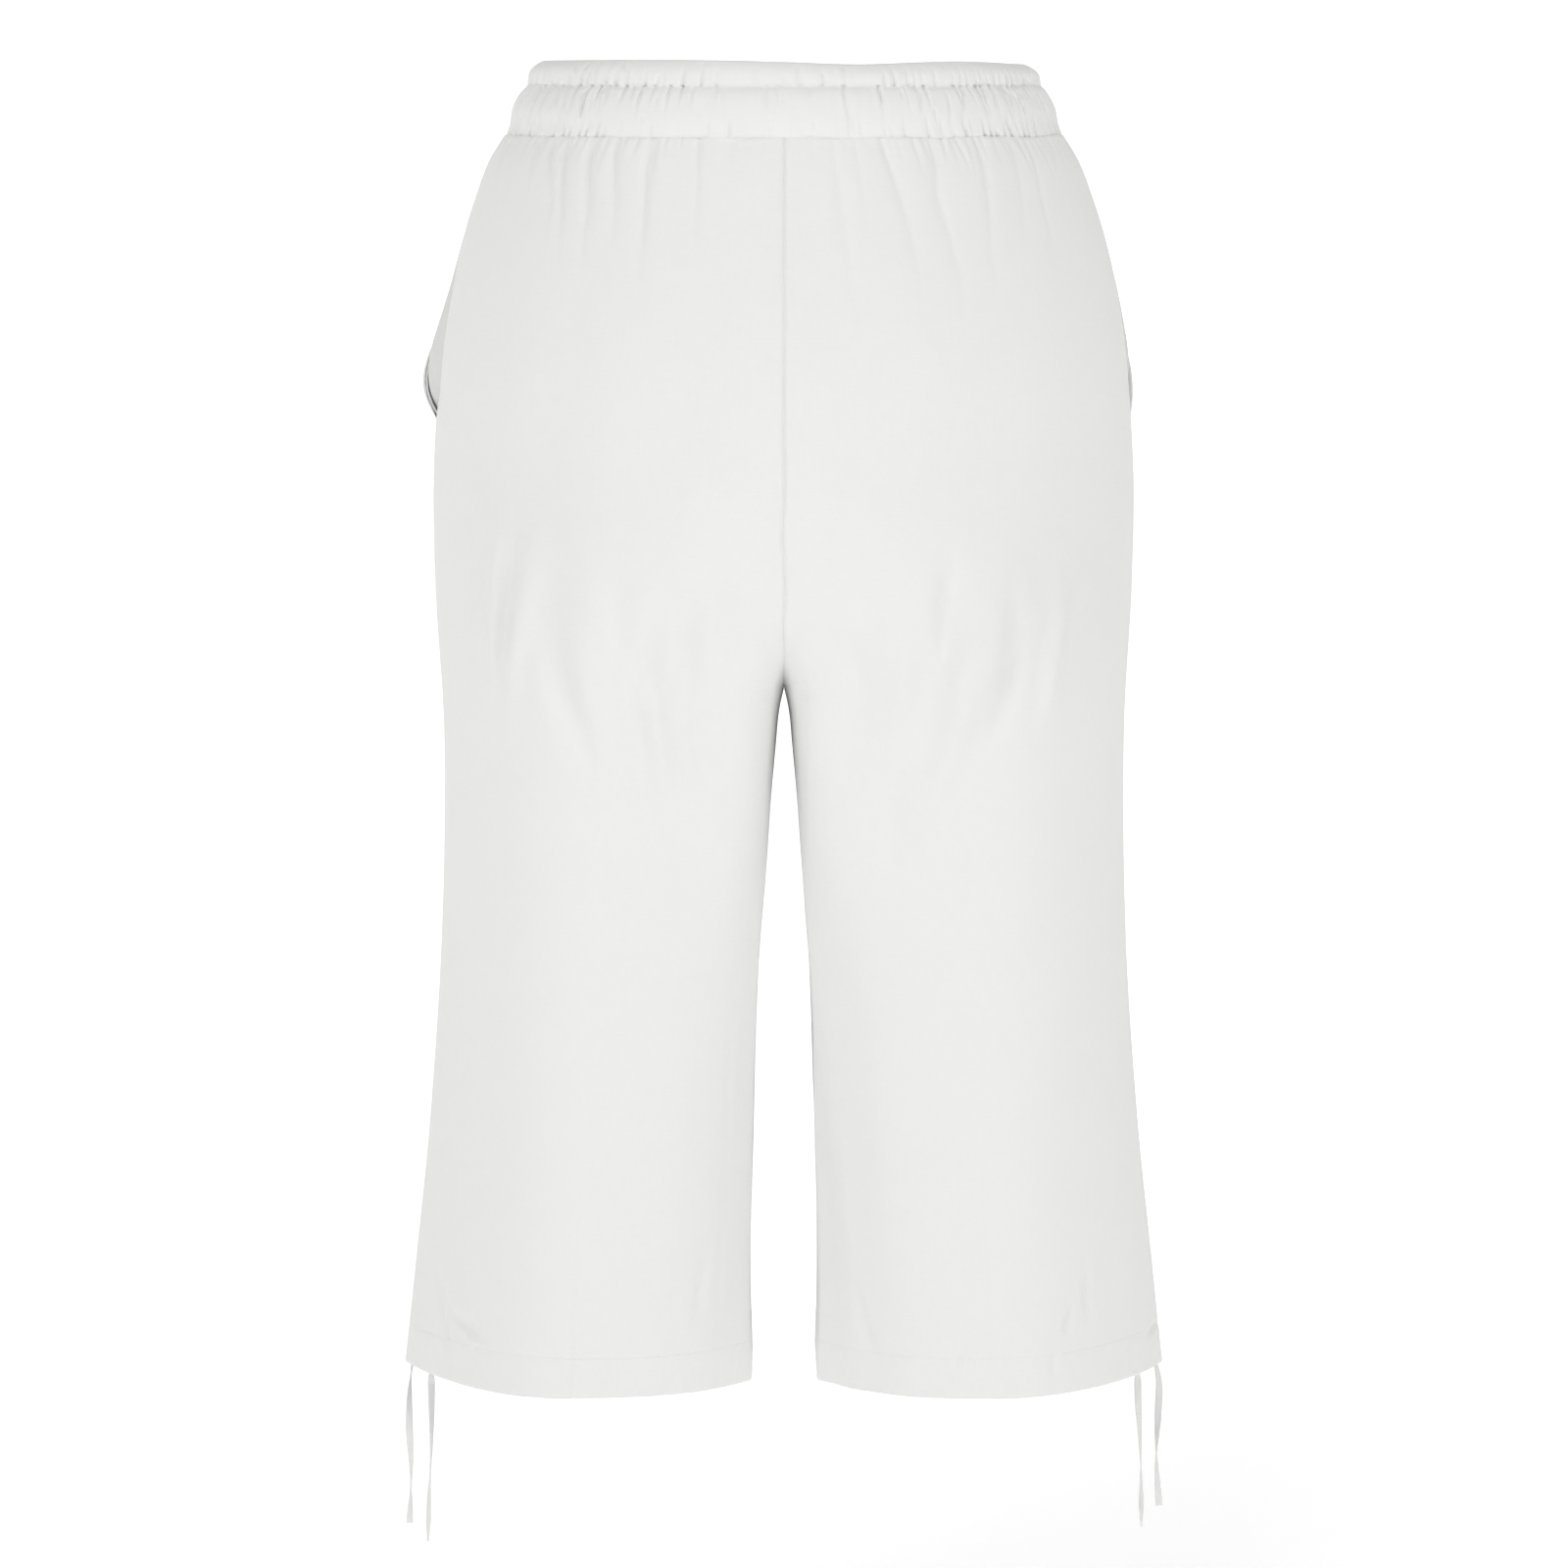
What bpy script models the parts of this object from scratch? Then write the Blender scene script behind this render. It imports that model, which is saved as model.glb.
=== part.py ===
"""Pull-on capri pants of plain woven cloth, worn and hollow, at their real size.

The front faces -Y and the wearer's left is +X. The origin is the middle of the waist,
half way up the elastic, where the wearer's waist holds the garment up. Each piece of
cloth is a wall: its outer points lie on rings worked out from the sizes below, with the
gathers and folds added along the ring's normal, and its inner points are the same
points moved in by the wall's thickness.
"""

import math

import bmesh
import bpy
import numpy as np

# Levels, in metres above the middle of the waist elastic
TOP_EDGE = 0.0265
STITCH_LINE = 0.0125
WAIST_SEAM = -0.0135
POCKET_END = -0.1660
BAG_END = -0.2380
FORK = -0.3090
HEM_FOLD = -0.6600
HEM = -0.6820

# Cloth walls and the clearance at seams
PANEL_WALL = 0.0015
HEM_WALL = 0.0024
BAND_WALL = 0.0024
POCKET_WALL = 0.0010
SEAM_GAP = 0.0003
LAYER_GAP = 0.0005

# Rings of the body and legs: level, half width at the side, back depth, front depth
RINGS = (
    (-0.0135, 0.1485, 0.1030, 0.0980),
    (-0.0250, 0.1555, 0.1065, 0.1005),
    (-0.0460, 0.1640, 0.1120, 0.1045),
    (-0.0870, 0.1762, 0.1220, 0.1110),
    (-0.1290, 0.1835, 0.1295, 0.1143),
    (-0.1600, 0.1857, 0.1323, 0.1150),
    (-0.1920, 0.1874, 0.1335, 0.1150),
    (-0.2550, 0.1870, 0.1275, 0.1115),
    (-0.3190, 0.1836, 0.1165, 0.1055),
    (-0.3830, 0.1835, 0.1070, 0.1010),
    (-0.4700, 0.1870, 0.0970, 0.0945),
    (-0.5560, 0.1940, 0.0895, 0.0870),
    (-0.6220, 0.2015, 0.0850, 0.0820),
    (-0.6820, 0.2082, 0.0820, 0.0780),
)

# Space between the legs: level, distance from the middle plane to the inside of a leg
LEG_SPACE = (
    (-0.3090, 0.00015),
    (-0.3190, 0.0024),
    (-0.3410, 0.0047),
    (-0.3620, 0.0066),
    (-0.4050, 0.0098),
    (-0.4480, 0.0133),
    (-0.4910, 0.0152),
    (-0.5560, 0.0169),
    (-0.6440, 0.0186),
    (-0.6820, 0.0176),
)

# How the seat becomes two legs: the height above the fork over which the rings part, and
# how fast they part at the fork
CROTCH_RISE = 0.1400
APEX_SPREAD = 0.25

# A leg's inner half is a rounded square at the fork, with this exponent. Below it, it
# falls by a share of its depth towards a flat inner side: the share at the fork and what
# the hem adds, the exponent of the fall, the share of the inner half's turn at which the
# flat side begins, and the height over which this form takes over from the square.
FORK_POWER = 4.5
FORK_FALL = 0.20
HEM_FALL = 0.30
FALL_POWER = 3.0
FLAT_FROM = 0.60
PRESSED_OVER = 0.1600

# A leg's outer half is half an ellipse down to this level. From there to the hem it grows
# pointed at the side seam, where its depth has this exponent.
SIDE_ROUND_TO = -0.3300
HEM_SIDE_POWER = 1.15

# Rows of points down each panel. The upper ones are level. Those of the seat end on the
# curved seat seam, and slope down to the side seam; those of the leg level out again.
UPPER_ROWS = (
    WAIST_SEAM - SEAM_GAP / 2, -0.0190, -0.0280, -0.0420, -0.0600, -0.0820, -0.1040,
    -0.1210, -0.1370, -0.1530, POCKET_END, -0.1900, -0.2150, BAG_END,
)
SEAT_ROWS = 11
FORK_ROW_AT_SIDE = -0.3920
LEG_ROWS = 7
HEM_STEP = 0.0015

# Gathers let go by the waist seam. Each is a trough: distance from the middle plane at
# the seam and at its lower end, level of that end, depth, half width.
GATHERS = {
    "back_left": (
        (0.028, 0.028, -0.0400, 0.0014, 0.004),
        (0.044, 0.047, -0.0780, 0.0024, 0.005),
        (0.068, 0.075, -0.0930, 0.0032, 0.005),
        (0.086, 0.090, -0.0760, 0.0027, 0.005),
        (0.098, 0.105, -0.0880, 0.0032, 0.005),
        (0.111, 0.118, -0.0890, 0.0030, 0.004),
        (0.119, 0.125, -0.0690, 0.0026, 0.004),
        (0.127, 0.133, -0.0450, 0.0022, 0.004),
        (0.143, 0.150, -0.0400, 0.0018, 0.004),
    ),
    "back_right": (
        (0.009, 0.009, -0.0730, 0.0012, 0.004),
        (0.025, 0.043, -0.1230, 0.0034, 0.005),
        (0.037, 0.048, -0.0680, 0.0020, 0.004),
        (0.051, 0.071, -0.1080, 0.0038, 0.005),
        (0.077, 0.097, -0.1160, 0.0030, 0.005),
        (0.099, 0.113, -0.1060, 0.0032, 0.005),
        (0.115, 0.124, -0.0690, 0.0027, 0.004),
        (0.126, 0.142, -0.0800, 0.0030, 0.004),
        (0.140, 0.147, -0.0380, 0.0017, 0.004),
    ),
    "front_left": (
        (0.012, 0.014, -0.0600, 0.0018, 0.005),
        (0.030, 0.036, -0.0950, 0.0030, 0.005),
        (0.049, 0.055, -0.0780, 0.0024, 0.005),
        (0.066, 0.074, -0.1100, 0.0032, 0.005),
        (0.084, 0.092, -0.0820, 0.0027, 0.005),
        (0.101, 0.109, -0.0960, 0.0030, 0.005),
        (0.117, 0.126, -0.0600, 0.0020, 0.004),
    ),
    "front_right": (
        (0.009, 0.011, -0.0720, 0.0018, 0.005),
        (0.025, 0.029, -0.0580, 0.0021, 0.005),
        (0.043, 0.051, -0.1040, 0.0032, 0.005),
        (0.062, 0.068, -0.0800, 0.0027, 0.005),
        (0.080, 0.090, -0.0980, 0.0032, 0.005),
        (0.097, 0.103, -0.0700, 0.0024, 0.005),
        (0.114, 0.124, -0.0880, 0.0026, 0.004),
    ),
}
PINCHED_AT_SEAM = 0.40
GATHERS_OPEN_OVER = 0.0100

# Folds that the hang of the cloth draws under the seat and across the thighs: distance
# from the middle plane and level at the upper end, the same at the lower end, height
# (a trough is negative), half width.
HANG_FOLDS = {
    "back_left": (
        (0.124, -0.2400, 0.100, -0.3450, -0.0026, 0.013),
        (0.138, -0.2000, 0.142, -0.3200, 0.0020, 0.011),
        (0.075, -0.2650, 0.056, -0.3700, -0.0024, 0.012),
        (0.047, -0.2500, 0.021, -0.3900, -0.0030, 0.011),
    ),
    "back_right": (
        (0.120, -0.2300, 0.070, -0.3750, 0.0030, 0.016),
        (0.122, -0.2400, 0.108, -0.3350, -0.0022, 0.013),
        (0.146, -0.2400, 0.132, -0.3250, 0.0016, 0.012),
        (0.089, -0.2350, 0.079, -0.2900, -0.0020, 0.011),
    ),
    "front_left": (
        (0.066, -0.2350, 0.028, -0.3300, -0.0026, 0.012),
        (0.118, -0.2500, 0.092, -0.3500, 0.0022, 0.013),
        (0.138, -0.2700, 0.120, -0.3600, -0.0020, 0.012),
    ),
    "front_right": (
        (0.074, -0.2300, 0.030, -0.3350, -0.0028, 0.012),
        (0.110, -0.2450, 0.090, -0.3400, 0.0020, 0.012),
        (0.140, -0.2600, 0.126, -0.3500, -0.0022, 0.012),
    ),
}
FOLD_CLEAR_OF_MIDDLE = 0.010
COLUMNS_FOLLOW_GATHERS_TO = -0.0750
COLUMNS_EVEN_FROM = -0.2000

# Slanted pocket mouths: turn from the side seam to the mouth's upper end, how far each
# mouth's edge gapes, how far across the front panel the gape dies away, and the powers
# by which it grows down the mouth and closes at its end
MOUTH_TURN = 0.47
GAPE = {"left": 0.0077, "right": 0.0027}
GAPE_REACH = 0.038
GAPE_RISE = 7.0
GAPE_FALL = 1.4

# The facing beside a mouth: the width of strip that lies level with the back panel, how
# far across it sinks to lie under the bag, and the columns of points on it and the bag
OPEN_STRIP = 0.014
LEAST_STRIP = 0.0001
SUNK_BEFORE_MOUTH = 0.80
STRIP_COLUMNS = 4
BAG_COLUMNS = 7

# Waistband rows: level, half width, back depth, front depth, share of the gathers' height
BAND_ROWS = (
    (TOP_EDGE, 0.1280, 0.0944, 0.0909, 0.5),
    (0.0246, 0.1312, 0.0958, 0.0923, 0.9),
    (0.0146, 0.1361, 0.0985, 0.0948, 0.8),
    (STITCH_LINE, 0.1364, 0.0984, 0.0946, 0.1),
    (0.0102, 0.1382, 0.0998, 0.0960, 0.8),
    (0.0010, 0.1436, 0.1025, 0.0981, 1.0),
    (-0.0090, 0.1456, 0.1035, 0.0989, 0.8),
    (WAIST_SEAM + SEAM_GAP / 2, 0.1474, 0.1032, 0.0982, 0.2),
)
BAND_STITCH_ROW = 3
BAND_PLAIN_ROWS = (0, BAND_STITCH_ROW, 7)
BAND_GATHERS = 94
GATHER_HEIGHT = 0.0014
GATHER_LEAST_SHARE = 0.35
GATHER_SCATTER = 0.44
GATHER_CALM_AT_MIDDLE = 0.45
PLACE_SEED, FRILL_SEED, CASING_SEED = 1, 2, 3
OUTER_COLUMNS_TO_ONE_PLAIN = 4
BAND_JOIN_X = -0.0320

# Hem ties: flat strips of the same cloth that hang from inside the hem. The routes are
# metres outwards from the exit, metres backwards, and metres below the hem.
TIE_WIDTH = 0.0040
TIE_WALL = 0.0011
TIE_TUCK = 0.0200
TIE_EXIT_RISE = 0.0020
TIE_STATIONS = 30
TIE_POINT_LENGTH = 0.014
TIES = {
    "hem_tie_left_side": {
        "turn": 0.04, "twist": 4.6, "point": 1.0,
        "route": ((0.0, 0.0, 0.0), (0.0018, 0.0, 0.012), (0.0024, 0.0006, 0.034),
                  (0.0016, 0.0008, 0.060), (0.0028, 0.0002, 0.091)),
    },
    "hem_tie_left_rear": {
        "turn": 0.31, "twist": -3.4, "point": 0.3,
        "route": ((0.0, 0.0, 0.0), (0.0002, 0.0, 0.014), (0.0004, 0.0008, 0.040),
                  (0.0018, 0.0014, 0.068), (0.0028, 0.0010, 0.095)),
    },
    "hem_tie_right_side": {
        "turn": 0.04, "twist": 4.4, "point": 1.0,
        "route": ((0.0, 0.0, 0.0), (0.0022, 0.0, 0.010), (0.0020, 0.0006, 0.030),
                  (0.0012, 0.0008, 0.052), (0.0030, 0.0004, 0.081)),
    },
    "hem_tie_right_rear": {
        "turn": 0.30, "twist": -3.6, "point": 0.3,
        "route": ((0.0, 0.0, 0.0), (0.0006, 0.0, 0.014), (0.0016, 0.0008, 0.034),
                  (0.0026, 0.0014, 0.060), (0.0030, 0.0010, 0.087)),
    },
}

# Cloth colours, linear
CLOTH_WHITE = (0.855, 0.852, 0.840)
POCKET_WHITE = (0.800, 0.797, 0.785)
TIE_WHITE = (0.830, 0.827, 0.815)
CLOTH_ROUGHNESS = 0.85
SHARP_EDGE = math.radians(50.0)

# Steps along and across the cloth from which its normal is taken
STEP_TURN = 0.002
STEP_LEVEL = 0.0005


# ---------------------------------------------------------------- curves and eases

def ease(share):
    """0 to 1 with level ends, for shares clipped to 0..1."""
    share = np.clip(share, 0.0, 1.0)
    return share * share * (3.0 - 2.0 * share)


def through(table, column, level):
    """Smooth curve through one column of a table whose first column is the level."""
    rows = np.array(sorted(row[:1] + (row[column],) for row in table))
    at, value = rows[:, 0], rows[:, 1]
    slope = np.gradient(value, at)
    level = np.clip(level, at[0], at[-1])
    low = np.clip(np.searchsorted(at, level) - 1, 0, len(at) - 2)
    span = at[low + 1] - at[low]
    k = (level - at[low]) / span
    return (value[low] * (1 + 2 * k) * (1 - k) ** 2 + slope[low] * span * k * (1 - k) ** 2
            + value[low + 1] * k * k * (3 - 2 * k) + slope[low + 1] * span * k * k * (k - 1))


def uneven(index, seed):
    """A fixed, scattered number from 0 to 1 for each index."""
    scattered = np.sin(np.asarray(index) * 12.9898 + seed * 78.233) * 43758.5453
    return scattered - np.floor(scattered)


# ---------------------------------------------------------------- the worn form

def ring(level):
    """Centre, reach, back depth and front depth of one leg's ring at each level.

    Below the fork a ring is a whole leg, with a flatter half inside. Above it the inner
    limit moves over to the other side, so the two rings cross, and each is kept as far
    as the middle plane.
    """
    outer = through(RINGS, 1, level)
    share = np.clip((level - FORK) / CROTCH_RISE, 0.0, 1.0)
    start = APEX_SPREAD * CROTCH_RISE / through(RINGS, 1, FORK)
    crossing = ease(share) + start * share * (1.0 - share) ** 2
    leg_side = through(LEG_SPACE, 1, np.minimum(level, FORK))
    inner = np.where(level > FORK, leg_side * (1.0 - crossing) - outer * crossing, leg_side)
    return (outer + inner) / 2, (outer - inner) / 2, through(RINGS, 2, level), through(RINGS, 3, level)


def side_power(level):
    """Exponent of the depth in a ring's outer half: 2 is half an ellipse, less is pointed
    at the side seam."""
    down_leg = ease((SIDE_ROUND_TO - level) / (SIDE_ROUND_TO - HEM))
    return 2.0 + (HEM_SIDE_POWER - 2.0) * down_leg


def ring_shares(turn, level):
    """Shares of a ring's reach and of its depth at a turn from the side seam.

    The outer half is half an ellipse, or pointed lower down. The inner half is nearly
    flat at the back, falls by a power of the way in, and ends in a flat inner side.
    """
    cosine, sine = np.cos(turn), np.sin(turn)
    outwards = np.sqrt(np.maximum(1.0 - np.abs(sine) ** side_power(level), 0.0))
    square = (np.abs(cosine) ** FORK_POWER + np.abs(sine) ** FORK_POWER) ** (1.0 / FORK_POWER)
    way_in = np.maximum(np.abs(turn) / (math.pi / 2) - 1.0, 0.0)
    across_in = np.minimum(way_in / FLAT_FROM, 1.0)
    fall = HEM_FALL * ease((FORK - level) / (FORK - HEM)) + FORK_FALL
    flat = (1.0 - fall) * (1.0 - way_in) / (1.0 - FLAT_FROM)
    along_in = np.where(way_in < FLAT_FROM, 1.0 - fall * across_in ** FALL_POWER, flat)
    pressed = ease((FORK - level) / PRESSED_OVER)
    across_in = across_in * pressed + np.abs(cosine) / square * (1.0 - pressed)
    along_in = np.sign(turn) * along_in * pressed + sine / square * (1.0 - pressed)
    inside = cosine < 0
    return np.where(inside, -across_in, outwards), np.where(inside, along_in, sine)


def turn_of(distance, level):
    """Turn from the side seam at which a ring lies at a distance from the middle plane."""
    centre, reach, _, _ = ring(level)
    share = np.clip((distance - centre) / reach, -1.0, 1.0)
    depth_share = (1.0 - np.abs(share) ** FORK_POWER) ** (1.0 / FORK_POWER)
    inner_turn = math.pi - np.arctan2(depth_share, np.abs(share))
    outer_turn = np.arcsin((1.0 - share ** 2) ** (1.0 / side_power(level)))
    return np.where(share < 0, inner_turn, outer_turn)


def ring_step(turn, level):
    """Metres outwards and backwards along a ring for one unit of turn, over a short step."""
    _, reach, back, front = ring(level)
    depth = np.where(turn > 0, back, front)
    across_here, along_here = ring_shares(turn - STEP_TURN / 2, level)
    across_there, along_there = ring_shares(turn + STEP_TURN / 2, level)
    return (reach * (across_there - across_here) / STEP_TURN,
            depth * (along_there - along_here) / STEP_TURN)


def pace_of(turn, level):
    """Metres along a ring for one unit of turn."""
    return np.hypot(*ring_step(turn, level))


def middle_turn(level):
    """Turn from the side seam at which a ring meets the middle plane, or the inseam."""
    return np.where(level > FORK, turn_of(0.0, level), math.pi)


def mouth_turn(level):
    """Turn of the pocket mouth's edge, negative towards the front; 0 below the mouth."""
    return -MOUTH_TURN * np.clip((level - POCKET_END) / (WAIST_SEAM - POCKET_END), 0.0, 1.0)


def fold_relief(panel, turn, level):
    """Height of the gathers and folds of one panel along the ring's normal."""
    face = 1.0 if panel.startswith("back") else -1.0
    pace = pace_of(turn, level)
    height = np.zeros_like(turn * level)
    opened = ease((WAIST_SEAM - level) / GATHERS_OPEN_OVER)
    opened = PINCHED_AT_SEAM + (1.0 - PINCHED_AT_SEAM) * opened
    for top, low, low_level, trough, width in GATHERS[panel]:
        run = np.clip((WAIST_SEAM - level) / (WAIST_SEAM - low_level), 0.0, 1.0)
        away = (turn - face * turn_of(top + (low - top) * run, level)) * pace
        height = height - trough * opened * (1.0 - ease(run)) * np.exp(-(away / width) ** 2)
    for top, top_level, low, low_level, rise, width in HANG_FOLDS[panel]:
        run = np.clip((top_level - level) / (top_level - low_level), 0.0, 1.0)
        away = (turn - face * turn_of(top + (low - top) * run, level)) * pace
        height = height + rise * np.sin(math.pi * run) ** 2 * np.exp(-(away / width) ** 2)
    from_middle = (middle_turn(level) - np.abs(turn)) * pace
    return height * ease(from_middle / FOLD_CLEAR_OF_MIDDLE)


def gape_relief(side, turn, level):
    """How far the front panel stands off near its pocket mouth."""
    share = np.clip((WAIST_SEAM - level) / (WAIST_SEAM - POCKET_END), 0.0, 1.0)
    peak = GAPE_RISE / (GAPE_RISE + GAPE_FALL)
    bulge = share ** GAPE_RISE * (1.0 - share) ** GAPE_FALL
    bulge = bulge / (peak ** GAPE_RISE * (1.0 - peak) ** GAPE_FALL)
    across = (mouth_turn(level) - turn) * through(RINGS, 3, level)
    return GAPE[side] * bulge * (1.0 - ease(across / GAPE_REACH))


def cloth_point(side, turn, level, gaping=False):
    """Point of the cloth's outer face. A turn is 0 at the side seam and + to the back."""
    turn, level = np.broadcast_arrays(np.asarray(turn, float), np.asarray(level, float))
    centre, reach, back, front = ring(level)
    depth = np.where(turn > 0, back, front)
    across, along = ring_shares(turn, level)
    outwards, backwards = ring_step(turn, level)
    length = np.hypot(outwards, backwards)
    height = fold_relief("back_" + side, turn, level) + fold_relief("front_" + side, turn, level)
    if gaping:
        height = height + gape_relief(side, turn, level)
    x = centre + reach * across + backwards / length * height
    y = depth * along - outwards / length * height
    hand = 1.0 if side == "left" else -1.0
    return np.stack([hand * x, y, level], axis=-1)


def cloth_normal(side, turn, level, gaping=False):
    """Outward normal of the cloth, from steps along and across it."""
    turn, level = np.broadcast_arrays(np.asarray(turn, float), np.asarray(level, float))
    across = (cloth_point(side, turn + STEP_TURN, level, gaping)
              - cloth_point(side, turn - STEP_TURN, level, gaping))
    along = (cloth_point(side, turn, level + STEP_LEVEL, gaping)
             - cloth_point(side, turn, level - STEP_LEVEL, gaping))
    normal = np.cross(across, along) * (1.0 if side == "left" else -1.0)
    return normal / np.linalg.norm(normal, axis=-1, keepdims=True)


# ---------------------------------------------------------------- rows and columns

def panel_rows():
    """The level of each of a panel's rows at its side edge and at its middle edge."""
    rows = [(level, level) for level in UPPER_ROWS]
    for row in range(1, SEAT_ROWS + 1):
        share = row / SEAT_ROWS
        rows.append((BAG_END + (FORK_ROW_AT_SIDE - BAG_END) * share,
                     FORK + (BAG_END - FORK) * (1.0 - share) ** 2))
    for row in range(1, LEG_ROWS + 1):
        share = row / LEG_ROWS
        rows.append((FORK_ROW_AT_SIDE + (HEM_FOLD + HEM_STEP - FORK_ROW_AT_SIDE) * share,
                     FORK + (HEM_FOLD + HEM_STEP - FORK) * share))
    return rows + [(HEM_FOLD, HEM_FOLD), (HEM, HEM)]


def column_turns(panel, level, end_level):
    """Turns of one row's points, from the panel's side edge to its middle edge.

    Below the waist seam the columns follow the gathers' troughs and the ridges half way
    between them. Lower down they ease into even spacing.
    """
    face = 1.0 if panel.startswith("back") else -1.0
    edge = 0.0 if face > 0 else float(mouth_turn(level))
    end = face * float(middle_turn(end_level))
    run_level = max(level, COLUMNS_EVEN_FROM)
    troughs = []
    for top, low, low_level, _, _ in GATHERS[panel]:
        run = (WAIST_SEAM - run_level) / (WAIST_SEAM - low_level)
        troughs.append(face * float(turn_of(top + (low - top) * run, run_level)))
    troughs.sort(key=abs)
    limits = [edge] + troughs + [end]
    lines = [edge]
    for here, there in zip(limits[:-1], limits[1:]):
        lines += [(here + there) / 2, there]
    even = np.linspace(edge, end, len(lines))
    keep = 1.0 - ease((COLUMNS_FOLLOW_GATHERS_TO - level)
                      / (COLUMNS_FOLLOW_GATHERS_TO - COLUMNS_EVEN_FROM))
    return even + (np.array(lines) - even) * keep


def grid_of(panel, rows):
    """Turns and levels of a panel's points. A row leaves its side edge level."""
    turns = np.array([column_turns(panel, *row) for row in rows])
    side, middle = np.array(rows).T[:, :, None]
    return turns, side + (middle - side) * np.linspace(0.0, 1.0, turns.shape[1]) ** 2


def part_from_middle(points, side):
    """Points moved clear of the middle plane by half a seam gap."""
    hand = 1.0 if side == "left" else -1.0
    points[..., 0] = hand * np.maximum(hand * points[..., 0], SEAM_GAP / 2)
    return points


def draw_in(outer, inner, column, neighbour):
    """An edge column moved half a seam gap towards its neighbour, on both faces."""
    towards = outer[:, neighbour] - outer[:, column]
    towards = towards / np.linalg.norm(towards, axis=-1, keepdims=True)
    outer[:, column] += towards * SEAM_GAP / 2
    inner[:, column] += towards * SEAM_GAP / 2


# ---------------------------------------------------------------- meshes

def cloth_material(name, colour):
    """Matt cloth of one colour."""
    material = bpy.data.materials.new(name)
    material.use_nodes = True
    shader = material.node_tree.nodes["Principled BSDF"]
    shader.inputs["Base Color"].default_value = (*colour, 1.0)
    shader.inputs["Roughness"].default_value = CLOTH_ROUGHNESS
    shader.inputs["Metallic"].default_value = 0.0
    return material


def fill_between(first, second):
    """Triangles between two chains of points that run the same way."""
    faces, i, j = [], 0, 0
    while i < len(first) - 1 or j < len(second) - 1:
        if (i + 1) * (len(second) - 1) <= (j + 1) * (len(first) - 1):
            faces.append((first[i], first[i + 1], second[j]))
            i += 1
        else:
            faces.append((first[i], second[j + 1], second[j]))
            j += 1
    return faces


def cut_the_other_way(grid):
    """Cells below the pockets whose second diagonal is the shorter one. Above them every
    cell is cut alike, so that cloth and pocket layers stay parallel."""
    first = np.linalg.norm(grid[1:, 1:] - grid[:-1, :-1], axis=-1)
    second = np.linalg.norm(grid[1:, :-1] - grid[:-1, 1:], axis=-1)
    return (second < first) & (grid[1:, 1:, 2] < BAG_END)


def add_wall(name, outer, inner, colour):
    """A closed wall between an outer and an inner grid of points."""
    faces, borders, vertices, start = [], [], [], 0
    other_way = cut_the_other_way(outer)
    for grid in (outer, inner):
        rows, columns = grid.shape[:2]
        index = start + np.arange(rows * columns).reshape(rows, columns)
        for i in range(rows - 1):
            for j in range(columns - 1):
                a, b, c, d = index[i, j], index[i, j + 1], index[i + 1, j + 1], index[i + 1, j]
                if other_way[i, j]:
                    a, b, c, d = b, c, d, a
                faces += [(a, b, c), (a, c, d)]
        borders.append((index[0], index[-1], index[:, 0], index[:, -1]))
        vertices.append(grid.reshape(-1, 3))
        start += rows * columns
    for outer_border, inner_border in zip(*borders):
        faces += fill_between(list(outer_border), list(inner_border))
    return add_solid(name, np.concatenate(vertices), faces, colour)


def add_solid(name, vertices, faces, colour):
    """A mesh object with its faces turned outwards and its own material."""
    mesh = bpy.data.meshes.new(name)
    solid = bmesh.new()
    corners = [solid.verts.new(point) for point in vertices]
    for face in faces:
        solid.faces.new([corners[i] for i in face])
    bmesh.ops.recalc_face_normals(solid, faces=solid.faces)
    solid.to_mesh(mesh)
    solid.free()
    mesh.shade_smooth()
    mesh.set_sharp_from_angle(angle=SHARP_EDGE)
    mesh.materials.append(cloth_material(name + "_cloth", colour))
    piece = bpy.data.objects.new(name, mesh)
    bpy.context.collection.objects.link(piece)
    return piece


# ---------------------------------------------------------------- pieces

def add_panel(face, side):
    """A back or front panel: half of the seat or belly and half of a leg, in one."""
    panel = face + "_" + side
    turns, levels = grid_of(panel, panel_rows())
    gaping = face == "front"
    outer = cloth_point(side, turns, levels, gaping)
    normal = cloth_normal(side, turns, levels, gaping)
    wall = np.where(levels <= HEM_FOLD, HEM_WALL, PANEL_WALL)[..., None]
    inner = outer - normal * wall
    inner[..., 2] = np.where(levels <= HEM, HEM, inner[..., 2])
    inner[0, :, 2] = outer[0, :, 2]
    draw_in(outer, inner, 0, 1)
    leg = levels[:, -1] <= FORK
    seat_outer, seat_inner = outer[:, -1].copy(), inner[:, -1].copy()
    draw_in(outer, inner, -1, -2)
    outer[~leg, -1], inner[~leg, -1] = seat_outer[~leg], seat_inner[~leg]
    add_wall(panel, part_from_middle(outer, side), part_from_middle(inner, side), CLOTH_WHITE)


def add_pocket_bag(side):
    """The pocket's front layer, under the front panel from the mouth's edge inwards."""
    turns, levels = grid_of("front_" + side, [(level, level) for level in UPPER_ROWS])
    turns, levels = turns[:, :BAG_COLUMNS + 1], levels[:, :BAG_COLUMNS + 1]
    face = cloth_point(side, turns, levels, True)
    normal = cloth_normal(side, turns, levels, True)
    outer = face - normal * (PANEL_WALL + SEAM_GAP)
    inner = outer - normal * POCKET_WALL
    outer[0, :, 2] = inner[0, :, 2] = face[0, :, 2]
    draw_in(outer, inner, 0, 1)
    add_wall("pocket_bag_" + side, outer, inner, POCKET_WHITE)


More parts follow.
